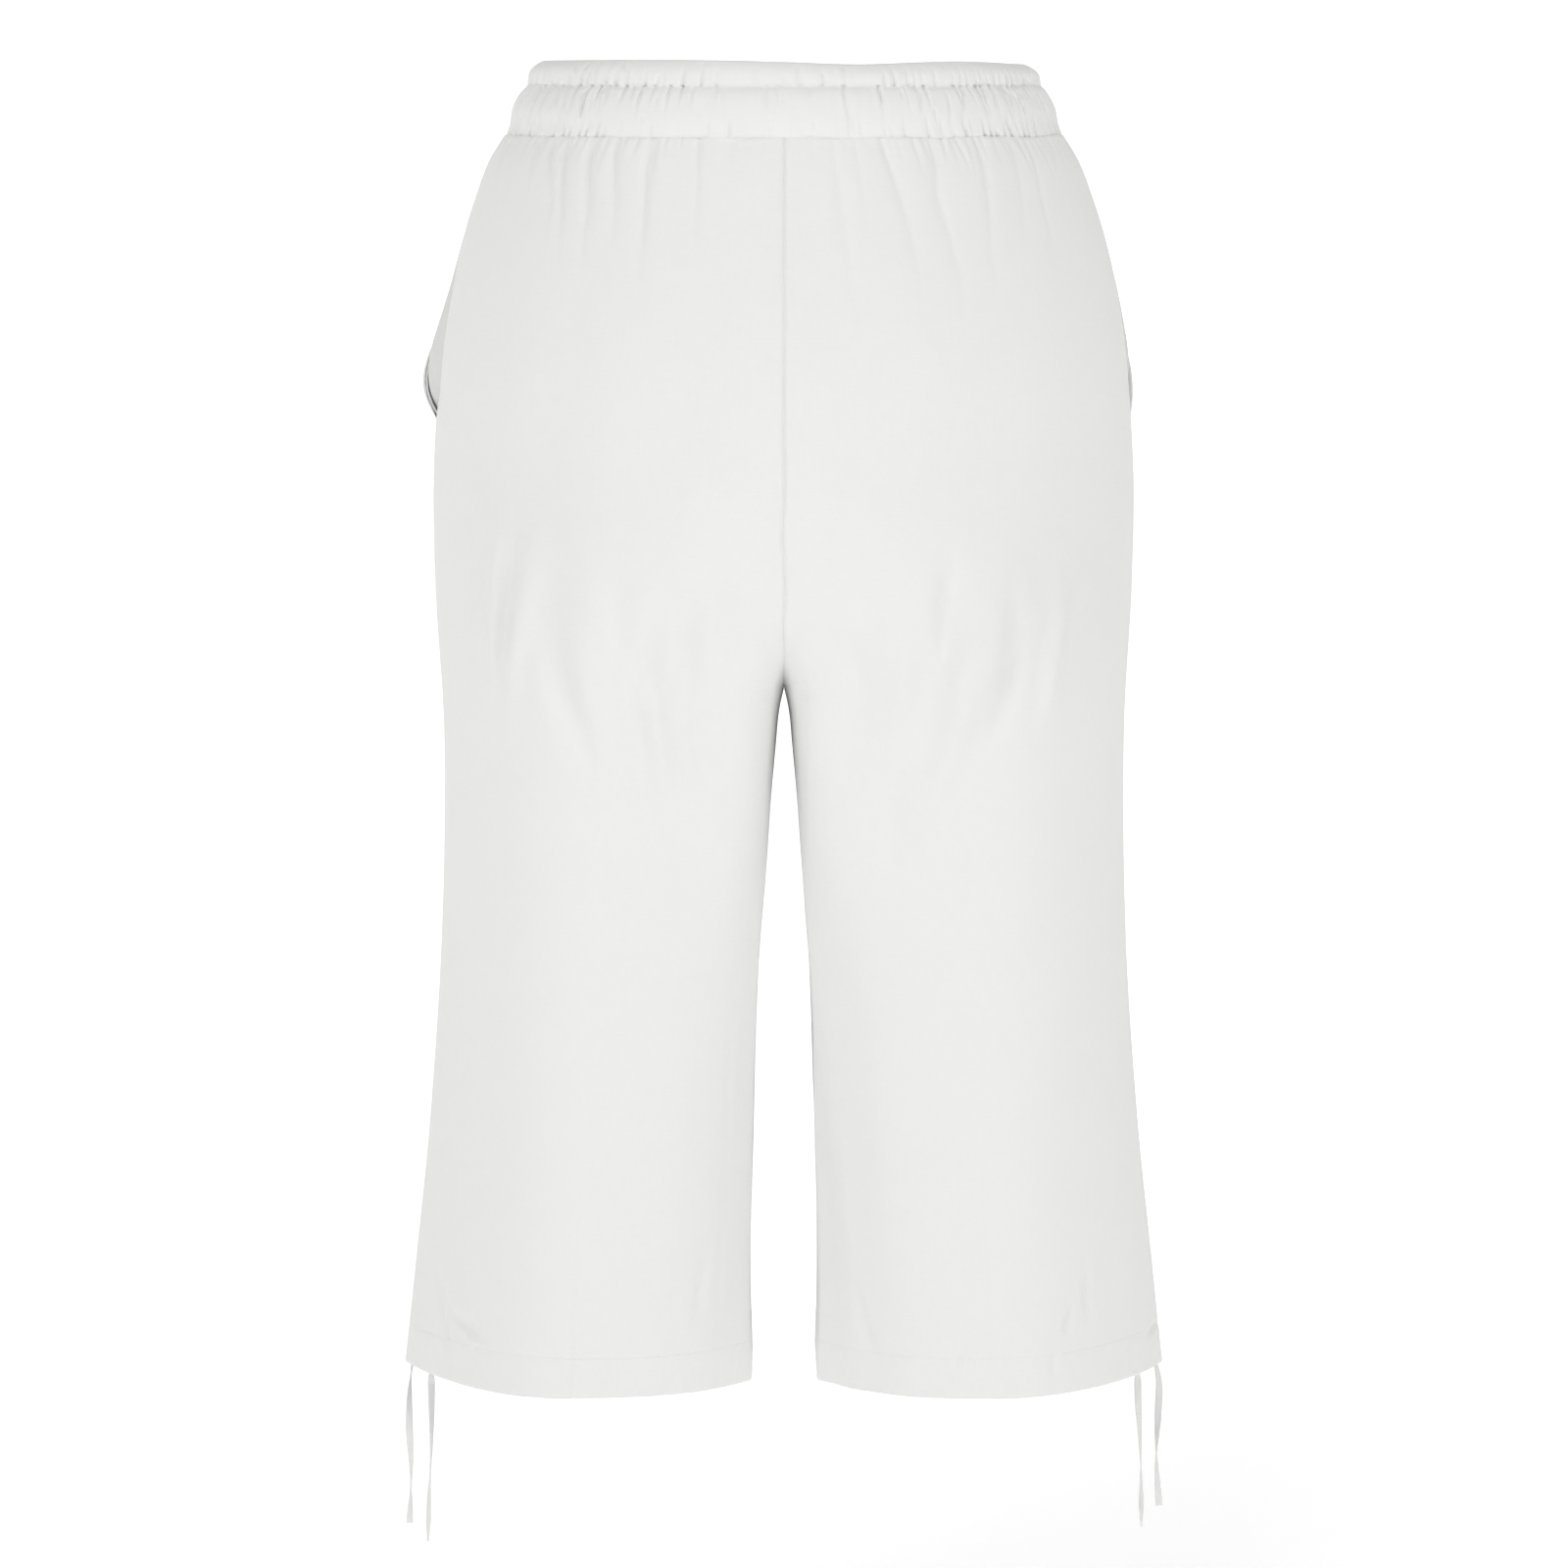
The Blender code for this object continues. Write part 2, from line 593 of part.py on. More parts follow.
def add_pocket_facing(side):
    """The pocket's back layer: level with the back panel at the side seam, where it
    shows beside the mouth, and sunk below the front panel and the bag beyond it."""
    rows = []
    for level in UPPER_ROWS:
        columns = column_turns("front_" + side, level, level)
        strip_end = min(columns[0], columns[1] / 2)
        strip = np.linspace(0.0, strip_end, STRIP_COLUMNS)
        rows.append(np.concatenate([strip, columns[1:BAG_COLUMNS + 1]]))
    turns = np.array(rows)
    levels = np.broadcast_to(np.array(UPPER_ROWS)[:, None], turns.shape)
    pace = through(RINGS, 3, levels)
    strip = -mouth_turn(levels) * pace
    sunk = ease(-turns * pace / np.maximum(strip * SUNK_BEFORE_MOUTH, LEAST_STRIP))
    showing = ease(strip / OPEN_STRIP) * (1.0 - sunk)
    under = PANEL_WALL + SEAM_GAP + POCKET_WALL + LAYER_GAP
    face = cloth_point(side, turns, levels)
    normal = cloth_normal(side, turns, levels)
    outer = face - normal * (under * (1.0 - showing))[..., None]
    inner = outer - normal * POCKET_WALL
    outer[0, :, 2] = inner[0, :, 2] = face[0, :, 2]
    draw_in(outer, inner, 0, 1)
    add_wall("pocket_facing_" + side, outer, inner, POCKET_WHITE)


def band_points(rows, shares, heights, inset):
    """Points of the waistband's rows at shares of the way round from its join."""
    _, stitch_width, stitch_back, _, _ = BAND_ROWS[BAND_STITCH_ROW]
    gap_turn = SEAM_GAP / stitch_back
    join = math.acos(BAND_JOIN_X / stitch_width)
    around = join + gap_turn / 2 + (math.tau - gap_turn) * shares
    points = []
    for row in rows:
        level, half_width, back, front, share = BAND_ROWS[row]
        depth = np.where(np.sin(around) > 0, back, front)
        normal_x, normal_y = np.cos(around) / half_width, np.sin(around) / depth
        length = np.hypot(normal_x, normal_y)
        off = heights[row] * share - inset
        points.append(np.stack([half_width * np.cos(around) + normal_x / length * off,
                                depth * np.sin(around) + normal_y / length * off,
                                np.full(len(around), level)], axis=-1))
    return np.array(points)


def add_waistband():
    """The gathered waistband: a frill above the stitch line and a full casing below it.

    Its outer lines are ridges and troughs in turn, uneven in place and height, and
    pinched flat at the stitch line and the seam. Its inner face is plain.
    """
    lines = 2 * BAND_GATHERS
    index = np.arange(lines + 1)
    shares = (index + GATHER_SCATTER * (uneven(index, PLACE_SEED) - 0.5)) / lines
    shares[0], shares[-1] = 0.0, 1.0
    join = math.acos(BAND_JOIN_X / BAND_ROWS[BAND_STITCH_ROW][1])
    strength = 1.0 - GATHER_CALM_AT_MIDDLE * (1.0 - np.abs(np.cos(join + math.tau * shares)))
    up_or_down = np.where(index % 2 == 0, 1.0, -1.0)
    heights = []
    for row in range(len(BAND_ROWS)):
        scatter = uneven(index, FRILL_SEED if row <= BAND_STITCH_ROW else CASING_SEED)
        share = GATHER_LEAST_SHARE + (1.0 - GATHER_LEAST_SHARE) * scatter
        height = up_or_down * share * strength * GATHER_HEIGHT
        height[0] = height[-1] = 0.0
        heights.append(height)
    outer = band_points(range(len(BAND_ROWS)), shares, heights, 0.0)
    plain = np.zeros((len(BAND_ROWS), lines // OUTER_COLUMNS_TO_ONE_PLAIN + 1))
    inner = band_points(BAND_PLAIN_ROWS, shares[::OUTER_COLUMNS_TO_ONE_PLAIN], plain, BAND_WALL)
    add_wall("waistband", outer, inner, CLOTH_WHITE)


def smooth_route(points, count):
    """Evenly spaced points on a smooth curve through a short list of points."""
    points = np.array(points, float)
    along = np.concatenate([[0.0], np.cumsum(np.linalg.norm(np.diff(points, axis=0), axis=1))])
    table = [tuple([s]) + tuple(point) for s, point in zip(along, points)]
    stations = np.linspace(0.0, along[-1], count)
    return np.stack([through(table, column, stations) for column in (1, 2, 3)], axis=-1), stations


def add_tie(name, tie):
    """A narrow flat tie, tucked up behind the hem, that turns as it hangs below it."""
    side = "left" if "left" in name else "right"
    hand = 1.0 if side == "left" else -1.0
    depth = HEM_WALL + LAYER_GAP + TIE_WALL / 2
    route = []
    for rise in (TIE_TUCK, TIE_TUCK / 2, TIE_EXIT_RISE):
        level = np.array([HEM + rise])
        route.append(cloth_point(side, tie["turn"], level)[0]
                     - cloth_normal(side, tie["turn"], level)[0] * depth)
    exit_point = route[-1]
    for outwards, backwards, drop in tie["route"][1:]:
        route.append((exit_point[0] + hand * outwards, exit_point[1] + backwards, HEM - drop))
    centres, stations = smooth_route(route, TIE_STATIONS)
    normal = cloth_normal(side, tie["turn"], np.array([HEM]))[0]
    normal = np.array([normal[0], normal[1], 0.0]) / math.hypot(normal[0], normal[1])
    wide = np.cross((0.0, 0.0, 1.0), normal)
    free = np.clip((stations - TIE_TUCK) / (stations[-1] - TIE_TUCK), 0.0, 1.0)
    angle = (tie["twist"] * free)[:, None]
    across = wide * np.cos(angle) + normal * np.sin(angle)
    through_tie = normal * np.cos(angle) - wide * np.sin(angle)
    narrow = ease((stations[-1] - stations) / TIE_POINT_LENGTH)
    half = (TIE_WIDTH / 2 * (tie["point"] + (1.0 - tie["point"]) * narrow))[:, None]
    outer = np.stack([centres + across * half * end + through_tie * TIE_WALL / 2
                      for end in (-1.0, 1.0)], axis=1)
    inner = np.stack([centres + across * half * end - through_tie * TIE_WALL / 2
                      for end in (-1.0, 1.0)], axis=1)
    add_wall(name, outer, inner, TIE_WHITE)


def main():
    """Clear the scene and make each piece of the garment."""
    for thing in list(bpy.data.objects):
        bpy.data.objects.remove(thing, do_unlink=True)
    add_waistband()
    for side in ("left", "right"):
        add_panel("back", side)
        add_panel("front", side)
        add_pocket_facing(side)
        add_pocket_bag(side)
    for name, tie in TIES.items():
        add_tie(name, tie)


main()
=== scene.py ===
"""Capri pants of plain white woven cotton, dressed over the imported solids.

Everything is in metres in the frame of the solids: +Z up, the front towards -Y, the
wearer's left towards +X, and the origin at the middle of the waist. Each piece of cloth
is a thin closed shell. Its outer points lie on the same rings as its solid's, moved
along the ring's normal by the sum of its gathers, folds, seams and hems, and its inner
points are a wall's thickness further in.
"""

import math

import bmesh
import bpy
import numpy as np
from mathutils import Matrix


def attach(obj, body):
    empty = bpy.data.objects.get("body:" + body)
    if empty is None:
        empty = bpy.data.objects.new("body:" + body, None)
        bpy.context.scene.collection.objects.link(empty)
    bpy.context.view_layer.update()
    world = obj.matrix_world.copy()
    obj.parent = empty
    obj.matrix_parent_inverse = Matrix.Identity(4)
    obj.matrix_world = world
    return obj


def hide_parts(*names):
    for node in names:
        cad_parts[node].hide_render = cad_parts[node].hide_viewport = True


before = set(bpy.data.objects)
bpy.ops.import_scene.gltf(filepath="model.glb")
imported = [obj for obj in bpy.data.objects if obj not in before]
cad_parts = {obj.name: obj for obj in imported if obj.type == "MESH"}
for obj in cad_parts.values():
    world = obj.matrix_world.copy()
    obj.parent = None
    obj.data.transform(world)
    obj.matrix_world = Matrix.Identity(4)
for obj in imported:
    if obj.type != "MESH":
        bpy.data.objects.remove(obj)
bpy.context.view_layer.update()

MM = 0.001
HANDS = {"left": 1.0, "right": -1.0}

# ---- the form, as cut

TOP_EDGE = 0.0265
STITCH_LINE = 0.0125
WAIST_SEAM = -0.0135
POCKET_END = -0.1660
BAG_END = -0.2380
FORK = -0.3090
HEM_FOLD = -0.6600
HEM = -0.6820

# Rings of the body and legs: level, half width at the side, back depth, front depth
RINGS = (
    (-0.0135, 0.1485, 0.1030, 0.0980), (-0.0250, 0.1555, 0.1065, 0.1005),
    (-0.0460, 0.1640, 0.1120, 0.1045), (-0.0870, 0.1762, 0.1220, 0.1110),
    (-0.1290, 0.1835, 0.1295, 0.1143), (-0.1600, 0.1857, 0.1323, 0.1150),
    (-0.1920, 0.1874, 0.1335, 0.1150), (-0.2550, 0.1870, 0.1275, 0.1115),
    (-0.3190, 0.1836, 0.1165, 0.1055), (-0.3830, 0.1835, 0.1070, 0.1010),
    (-0.4700, 0.1870, 0.0970, 0.0945), (-0.5560, 0.1940, 0.0895, 0.0870),
    (-0.6220, 0.2015, 0.0850, 0.0820), (-0.6820, 0.2082, 0.0820, 0.0780),
)
# Space between the legs: level, distance from the middle plane to the inside of a leg
LEG_SPACE = (
    (-0.3090, 0.00015), (-0.3190, 0.0024), (-0.3410, 0.0047), (-0.3620, 0.0066),
    (-0.4050, 0.0098), (-0.4480, 0.0133), (-0.4910, 0.0152), (-0.5560, 0.0169),
    (-0.6440, 0.0186), (-0.6820, 0.0176),
)
# Above the fork, a ring's inner end crosses to the far side over this height. It sets out
# at this slope, which fades with this exponent, and that opens the V between the legs.
CROTCH_RISE = 0.1400
APEX_SPREAD = 0.45
APEX_FADE = 5
# The cloth between the legs rises at this slope to the back and to the front, once past
# a blunt middle. It does so within a distance of the middle plane, from below the fork to
# above it, and fades beyond.
CROTCH_SLOPE = 0.14
CROTCH_BLUNT = 0.010
CROTCH_NEAR = 0.012
CROTCH_BELOW = 0.080
CROTCH_ABOVE = 0.010
CROTCH_FADE = 0.050
# Creases are left out this near to the middle plane, and come in over this distance
CALM_NEAR = 0.003
CALM_FADE = 0.013
# A leg's inner half is a rounded square at the fork, with this exponent. Below it, it
# falls by a share of its depth towards a flat inner side: the share at the fork and what
# the hem adds, the exponent of the fall, the share of the inner half's turn at which the
# flat side begins, and the height over which this form takes over from the square.
FORK_POWER = 9.0
FORK_FALL = 0.20
HEM_FALL = 0.30
FALL_POWER = 3.0
FLAT_FROM = 0.60
PRESSED_OVER = 0.1600
# A leg's outer half is half an ellipse down to this level, and then grows pointed at the
# side seam, where its depth has this exponent at the hem
SIDE_ROUND_TO = -0.3300
HEM_SIDE_POWER = 1.15
MOUTH_TURN = 0.47
# How far the front stands off at its pocket mouth, how far from the mouth it does so, and
# the exponents of the gape's rise down the mouth and of its fall at the lower end
GAPE = {"left": 0.0100, "right": 0.0034}
GAPE_REACH = 0.038
GAPE_RISE = 7.0
GAPE_FALL = 1.4
# The back's side edge lies in beside the gape: by a share of it, within a distance, and
# with exponents that set how low it is deepest and how soon it ends
HOLLOW_SHARE = 0.28
HOLLOW_REACH = 0.030
HOLLOW_LOW = 2.2
HOLLOW_END = 1.5

# Waistband rings: level, half width, back depth, front depth
BAND_RINGS = (
    (TOP_EDGE, 0.1280, 0.0944, 0.0909),
    (0.0246, 0.1312, 0.0958, 0.0923), (0.0146, 0.1361, 0.0985, 0.0948),
    (STITCH_LINE, 0.1364, 0.0984, 0.0946),
    (0.0102, 0.1382, 0.0998, 0.0960), (0.0010, 0.1436, 0.1025, 0.0981),
    (-0.0090, 0.1456, 0.1035, 0.0989),
    (WAIST_SEAM, 0.1474, 0.1032, 0.0982),
)
BAND_JOIN_X = -0.0320
# The weave is laid round the top edge at this radius
TOP_RADIUS = 0.127

HEM_WALL = 0.0024
LAYER_GAP = 0.0005
TIE_WALL = 0.0011
TIE_WIDTH = 0.0040
TIE_TUCK = 0.0200
TIE_EXIT_RISE = 0.0020
TIE_POINT_LENGTH = 0.014
# Hem ties: turn from the side seam, radians that the strip faces round to the back and
# that it twists, the tip's width as a share, and the route in metres outwards from the
# exit, backwards, and below the hem
TIES = {
    "hem_tie_left_side": (0.04, 0.0, 4.6, 1.0, (
        (0.0018, 0.0, 0.012), (0.0024, 0.0006, 0.034), (0.0016, 0.0008, 0.060),
        (0.0028, 0.0002, 0.091))),
    "hem_tie_left_rear": (0.31, 1.15, -2.6, 0.3, (
        (0.0002, 0.0, 0.014), (0.0004, 0.0008, 0.040), (0.0018, 0.0014, 0.068),
        (0.0028, 0.0010, 0.095))),
    "hem_tie_right_side": (0.04, 0.0, 4.4, 1.0, (
        (0.0022, 0.0, 0.010), (0.0020, 0.0006, 0.030), (0.0012, 0.0008, 0.052),
        (0.0030, 0.0004, 0.081))),
    "hem_tie_right_rear": (0.30, 1.15, -2.8, 0.3, (
        (0.0006, 0.0, 0.014), (0.0016, 0.0008, 0.034), (0.0026, 0.0014, 0.060),
        (0.0030, 0.0010, 0.087))),
}

# ---- creases, listed one by one

# Gathers let go by the waist seam, in millimetres: depth, half width, then the route, as
# pairs of distance from the middle plane and level, from the seam down
GATHERS = {
    "back_left": (
        (1.0, 3.0, 28, -14, 28, -36), (1.7, 3.6, 44, -14, 45, -40, 47, -80),
        (2.3, 3.8, 68, -14, 72, -48, 75, -97), (2.0, 3.4, 86, -14, 87, -48, 90, -78),
        (2.5, 3.6, 98, -14, 101, -44, 105, -92), (2.5, 3.4, 111, -14, 115, -49, 118, -92),
        (2.2, 3.0, 119, -14, 121, -44, 125, -72), (2.1, 2.8, 127, -14, 133, -45),
        (1.8, 3.0, 143, -14, 151, -40),
    ),
    "back_right": (
        (0.5, 4.0, 7, -14, 7, -75), (1.2, 4.4, 25, -14, 29, -43, 34, -78, 43, -126),
        (0.6, 3.6, 36, -14, 44, -70), (1.4, 4.8, 49, -14, 61, -46, 70, -83, 71, -112),
        (1.2, 4.8, 77, -14, 79, -43, 90, -78, 97, -120),
        (1.2, 4.4, 99, -14, 106, -44, 107, -69, 113, -110),
        (1.0, 3.8, 117, -14, 124, -46, 125, -72), (1.1, 3.8, 126, -14, 135, -47, 143, -84),
        (0.8, 3.2, 139, -14, 144, -36),
    ),
    "front_left": (
        (1.0, 3.6, 12, -14, 14, -62), (2.0, 3.8, 30, -14, 33, -50, 36, -98),
        (1.6, 3.4, 49, -14, 55, -80), (2.3, 3.8, 66, -14, 69, -55, 75, -114),
        (1.9, 3.6, 84, -14, 92, -86), (2.1, 3.6, 101, -14, 104, -52, 110, -100),
        (1.6, 3.2, 117, -14, 127, -62),
    ),
    "front_right": (
        (1.0, 3.6, 9, -14, 11, -74), (1.5, 3.4, 25, -14, 29, -60),
        (2.2, 3.8, 43, -14, 46, -55, 52, -108), (1.8, 3.6, 62, -14, 68, -84),
        (2.2, 3.8, 80, -14, 84, -50, 91, -102), (1.7, 3.4, 97, -14, 103, -72),
        (1.9, 3.4, 114, -14, 118, -48, 125, -90),
    ),
}
# Folds that the hang of the cloth draws: height (a trough is negative), half width, and
# the route as above. They fade at both ends.
FOLDS = {
    "back_left": (
        (1.5, 8.0, 149, -190, 149, -312), (1.2, 8.0, 131, -195, 137, -266, 142, -330),
        (-1.2, 5.0, 144, -214, 145, -305), (-2.0, 8.0, 126, -240, 106, -320, 98, -352),
        (-1.2, 7.0, 92, -225, 86, -271, 84, -300), (-2.2, 8.0, 78, -258, 66, -304, 54, -378),
        (-0.9, 6.0, 56, -268, 49, -317, 36, -390), (-0.9, 8.0, 46, -215, 36, -270, 30, -310),
        (1.0, 9.0, 62, -225, 50, -290, 38, -350), (-1.0, 14.0, 29, -245, 26, -350),
    ),
    "back_right": (
        (2.2, 11.0, 124, -225, 112, -269, 94, -290, 88, -320, 70, -380),
        (-1.8, 7.0, 121, -238, 107, -325), (1.3, 7.0, 148, -235, 140, -286, 132, -325),
        (-1.7, 6.0, 91, -225, 81, -292), (1.1, 7.0, 66, -258, 50, -318),
        (-0.8, 8.0, 46, -232, 38, -275, 32, -310), (-1.0, 9.0, 60, -330, 52, -400),
        (-1.2, 14.0, 20, -262, 24, -355),
    ),
    "front_left": (
        (-2.2, 8.0, 66, -225, 50, -275, 26, -345), (1.6, 10.0, 118, -235, 106, -295, 92, -365),
        (-1.6, 8.0, 138, -255, 130, -310, 120, -375), (-1.3, 7.0, 40, -240, 28, -300, 14, -360),
        (1.2, 9.0, 84, -245, 70, -310, 56, -370),
    ),
    "front_right": (
        (-2.3, 8.0, 74, -222, 56, -280, 28, -350), (1.5, 10.0, 110, -232, 100, -290, 90, -360),
        (-1.7, 8.0, 140, -248, 134, -305, 126, -370), (-1.2, 7.0, 44, -250, 30, -308, 15, -368),
        (1.1, 9.0, 90, -262, 78, -322, 62, -384),
    ),
}
# Small creases at the hems and on the insides of the legs, laid out as the folds are
HEM_CREASES = {
    "back_left": (
        (-0.9, 3.2, 188, -622, 184, -643, 183, -668),
        (-0.8, 2.4, 183, -643, 172, -648, 158, -654), (0.8, 3.0, 171, -652, 165, -660),
        (-0.6, 3.2, 34, -604, 42, -648),
    ),
    "back_right": (
        (-0.9, 2.8, 162, -612, 163, -646), (-1.1, 2.6, 154, -634, 150, -650),
        (-0.6, 2.6, 208, -658, 196, -664), (-0.5, 2.6, 144, -658, 144, -674),
        (-0.6, 3.2, 27, -618, 48, -672), (-0.5, 3.0, 96, -646, 92, -676),
    ),
    "front_left": (
        (-0.8, 3.0, 176, -628, 172, -664), (-0.6, 3.0, 120, -640, 126, -672),
        (-0.6, 3.2, 58, -630, 50, -668),
    ),
    "front_right": (
        (-0.8, 3.0, 168, -624, 166, -660), (-0.6, 3.0, 108, -642, 112, -674),
        (-0.6, 3.2, 50, -626, 44, -664),
    ),
}
# Creases across the waistband's frill and casing, in millimetres: depth, half width, and
# the route, as pairs of distance to the wearer's left and level, from the top down
BAND_CREASES = (
    # Left, the frill
    (1.1, 1.4, 107, 25, 107, 18), (1.1, 1.4, 101, 25, 102, 18), (1.2, 1.4, 96, 24, 98, 17),
    (1.0, 1.3, 88, 20, 88, 13), (1.1, 1.5, 82, 25, 81, 20, 79, 14), (0.9, 1.3, 43, 25, 43, 19),
    (0.9, 1.3, 65, 18, 66, 13, 67, 9),
    # Left, the casing
    (0.8, 1.2, 66, 6, 66, 0), (1.2, 1.4, 78, 12, 79, 5), (1.1, 1.3, 47, 12, 48, 6, 49, -2),
    (0.9, 1.3, 31, 11, 30, 2), (0.7, 1.2, 1, 12, 0, 6), (0.6, 1.2, 1, 8, 0, 4),
    (0.8, 1.2, 73, -3, 73, -8), (0.9, 1.2, 84, -5, 85, -12),
    (1.4, 1.5, 101, 12, 104, 9, 104, -5), (1.0, 1.2, 100, 7, 100, -2),
    (1.3, 1.4, 92, 12, 95, 9, 95, -3), (1.3, 1.4, 110, 12, 113, 8, 113, -4),
    (1.1, 1.3, 117, 8, 117, -3), (-0.8, 1.3, 102, 12, 106, 9, 106, -5, 108, -12),
    (-0.7, 1.2, 98, 12, 101, 8, 101, 0, 104, -8), (-0.7, 1.2, 90, 12, 93, 9, 93, -3),
    (-0.6, 1.2, 108, 11, 110, 6, 110, -7),
    # Right, the frill
    (0.6, 1.5, -26, 23, -25, 9), (0.6, 1.4, -35, 23, -36, 13), (0.7, 1.6, -61, 23, -60, 13),
    (0.7, 1.3, -71, 24, -73, 19), (0.7, 1.3, -82, 25, -83, 19), (0.7, 1.4, -97, 24, -99, 19),
    (0.7, 1.2, -20, 21, -20, 15), (1.0, 1.2, -93, 17, -93, 13), (1.0, 1.2, -126, 17, -126, 13),
    # Right, the casing
    (2.2, 1.6, -91, 12, -93, 9, -92, -4), (2.5, 1.7, -114, 12, -118, 8, -119, -3),
    (1.4, 1.4, -70, 11, -71, 6, -70, -3), (-0.6, 1.2, -68, 10, -69, 5, -68, -2),
    (0.9, 1.2, -45, 11, -45, 2), (1.0, 1.2, -50, 11, -50, 0), (1.2, 1.3, -104, 12, -106, 6),
    (1.0, 1.3, -60, 11, -62, 4), (0.9, 1.2, -78, 0, -79, -8),
    (1.1, 1.3, -84, 9, -86, -1, -86, -11), (0.8, 1.2, -14, 12, -13, 7),
    (0.7, 1.1, -16, -6, -16, -10), (1.1, 1.3, -116, -4, -117, -11),
    (1.3, 1.3, -122, 9, -122, -1), (1.2, 1.3, -125, 3, -125, -3), (1.1, 1.4, -134, 6, -134, 0),
)
# How far the frill's edge dips below its full height, in millimetres, at angles round
# the waist from the wearer's left
EDGE_DIPS = (
    (0.0, 0.9), (0.4, 0.6), (0.75, 0.4), (1.16, 0.6), (1.57, 1.5), (1.99, 2.7), (2.50, 1.2),
    (2.95, 2.6), (3.33, 2.8), (3.78, 1.6), (4.29, 3.0), (4.71, 1.9), (5.12, 1.0), (5.53, 0.8),
    (5.88, 0.9), (6.2832, 0.9),
)

# How much deeper the gathers, folds and hem creases are drawn than their tables say
GATHER_SCALE = 1.45
FOLD_SCALE = 3.1
HEM_CREASE_SCALE = 2.8

# ---- creases, by rule

# A crease's section: how fast a keen one falls off and how blunt its bottom is, and the
# swell beside a crease, as a share of it and in squared half widths
KEEN_FALL = 1.5
KEEN_BLUNT = 0.06
SWELL_SHARE = 0.30
KEEN_SWELL = 6.0
SOFT_SWELL = 4.0
# Half widths from its line within which a crease is worked out
CREASE_REACH = 6

# Puckers under the waist seam: how many to a quarter turn, the level they stay above, and
# pairs of the least size and what a draw adds to it
PUCKERS = 40
PUCKER_END = -0.050
PUCKER_LENGTH = (0.008, 0.022)
PUCKER_DEPTH = (0.00060, 0.00120)
PUCKER_WIDTH = (0.0011, 0.0009)
PUCKER_LEAN = 0.28
# Puckers of the frill and the casing: how many all round, then for each kind its seed,
# start, end, length as shares of its run, depth scale, and size at the middle
BAND_PUCKERS = 150
BAND_PUCKER_KINDS = (
    (101, STITCH_LINE, TOP_EDGE, (0.80, 0.60), 1.05, 1.00),
    (211, STITCH_LINE, WAIST_SEAM, (0.40, 0.70), 1.85, 0.60),
    (307, WAIST_SEAM, STITCH_LINE, (0.25, 0.50), 1.35, 0.60),
)
BAND_PUCKER_DEPTH = (0.00060, 0.00190)
BAND_PUCKER_WIDTH = (0.0008, 0.0008)
BAND_PUCKER_LEAN = 0.0032
# The front has the back's listed creases at this share of their depth, and this much
# further round. A pucker and a crease are worked out within these angles.
FRONT_CREASES = (0.8, 0.07)
PUCKER_WINDOW = 0.09
CREASE_WINDOW = 0.16

# Swells down the legs: height, and wavelength across and down the cloth
BROAD_SWELL = (0.00085, 0.085, 0.42)
SMALL_SWELL = (0.00022, 0.034, 0.16)

# Depths of the hem's stitch groove, step, ropes, dimples and turned edge, and the heights
# over which the step and the ropes set in and the edge turns
HEM_GROOVE = 0.00006
HEM_STEP = 0.00010
HEM_ROPES = 0.00016
HEM_DIMPLES = 0.00008
HEM_FADE = 0.004
HEM_TURNED = 0.0005
HEM_TURNED_OVER = 0.0012

# ---- cloth sizes

PANEL_WALL = 0.0015
SHELL = 0.0013
HEM_SHELL = 0.0018
BAND_SHELL = 0.0020
POCKET_SHELL = 0.0009
SEAM_GAP = 0.0003

SEAM_DEPTH = 0.0010
WAIST_SEAM_DEPTH = 0.0004
SEAM_HALF_WIDTH = 0.0008
SEAM_RIM = 0.00025
SEAM_RIM_AT = 0.0026
SEAM_RIM_WIDTH = 0.0013
JOIN_SHARE = 0.8
# The mouth's folded edge and its row of stitches: depth and half width of each
MOUTH_EDGE = (0.0006, 0.0006)
MOUTH_GROOVE = (0.00028, 0.0009)
MOUTH_STITCH_IN = 0.0060
# How far the pocket's facing follows the gape of its mouth, and how deep it crumples
FACING_FOLLOWS = 0.95
FACING_CRUMPLE = 0.00035
STITCH_PITCH = 0.0030
STITCH_LENGTH = 0.0024
STITCH_THICKNESS = 0.00042
# A stitch's rings: place along it, girth and lift, the last two in its half thickness
STITCH_SIDES = 6
STITCH_RINGS = (
    (-0.50, 0.10, -0.90), (-0.42, 0.75, -0.25), (-0.20, 1.00, 0.15),
    (0.20, 1.00, 0.15), (0.42, 0.75, -0.25), (0.50, 0.10, -0.90),
)
# The waistband: how full its casing is, its stitch line's groove, how far its gathers show
# inside, and over what height its top edge is turned outside and inside, and how far
CASING_FULL = 0.0003
STITCH_GROOVE = 0.0005
BAND_INSIDE_SHARE = 0.45
TOP_TURN = (0.0011, 0.0009)
TOP_TURN_INSIDE = (0.0014, 0.0012)

# A panel's rows from waist seam to bag's end, over the seat, down the leg and in each part
# of the hem, its columns, and the close ones' shares by its edges. At the side, the seat's
# rows end at the thigh's level. Closer rows lie in bands by the hem's fold and edge.
WAIST_ROWS = 112
SEAT_ROWS = 64
LEG_ROWS = 100
HEM_ROWS = 12
PANEL_COLUMNS = 226
EDGE_COLUMNS = (0.0, 0.0009, 0.0019, 0.0030, 0.0043, 0.0060, 0.0082, 0.0110)
THIGH = -0.3920
FOLD_BAND = 0.0035
EDGE_BAND = 0.0015
POCKET_ROWS = 100
POCKET_COLUMNS = 70
POCKET_SHARE = 0.42
BAND_COLUMNS = 1104
TIE_ROWS = 120
TIE_CORNERS = 28
# A coarse inner layer has one point to this many of the outer layer's, each way
INNER_STEP = 3
# The step of turn over which the pace along a ring is measured
STEP_TURN = 0.002

# ---- studio sizes

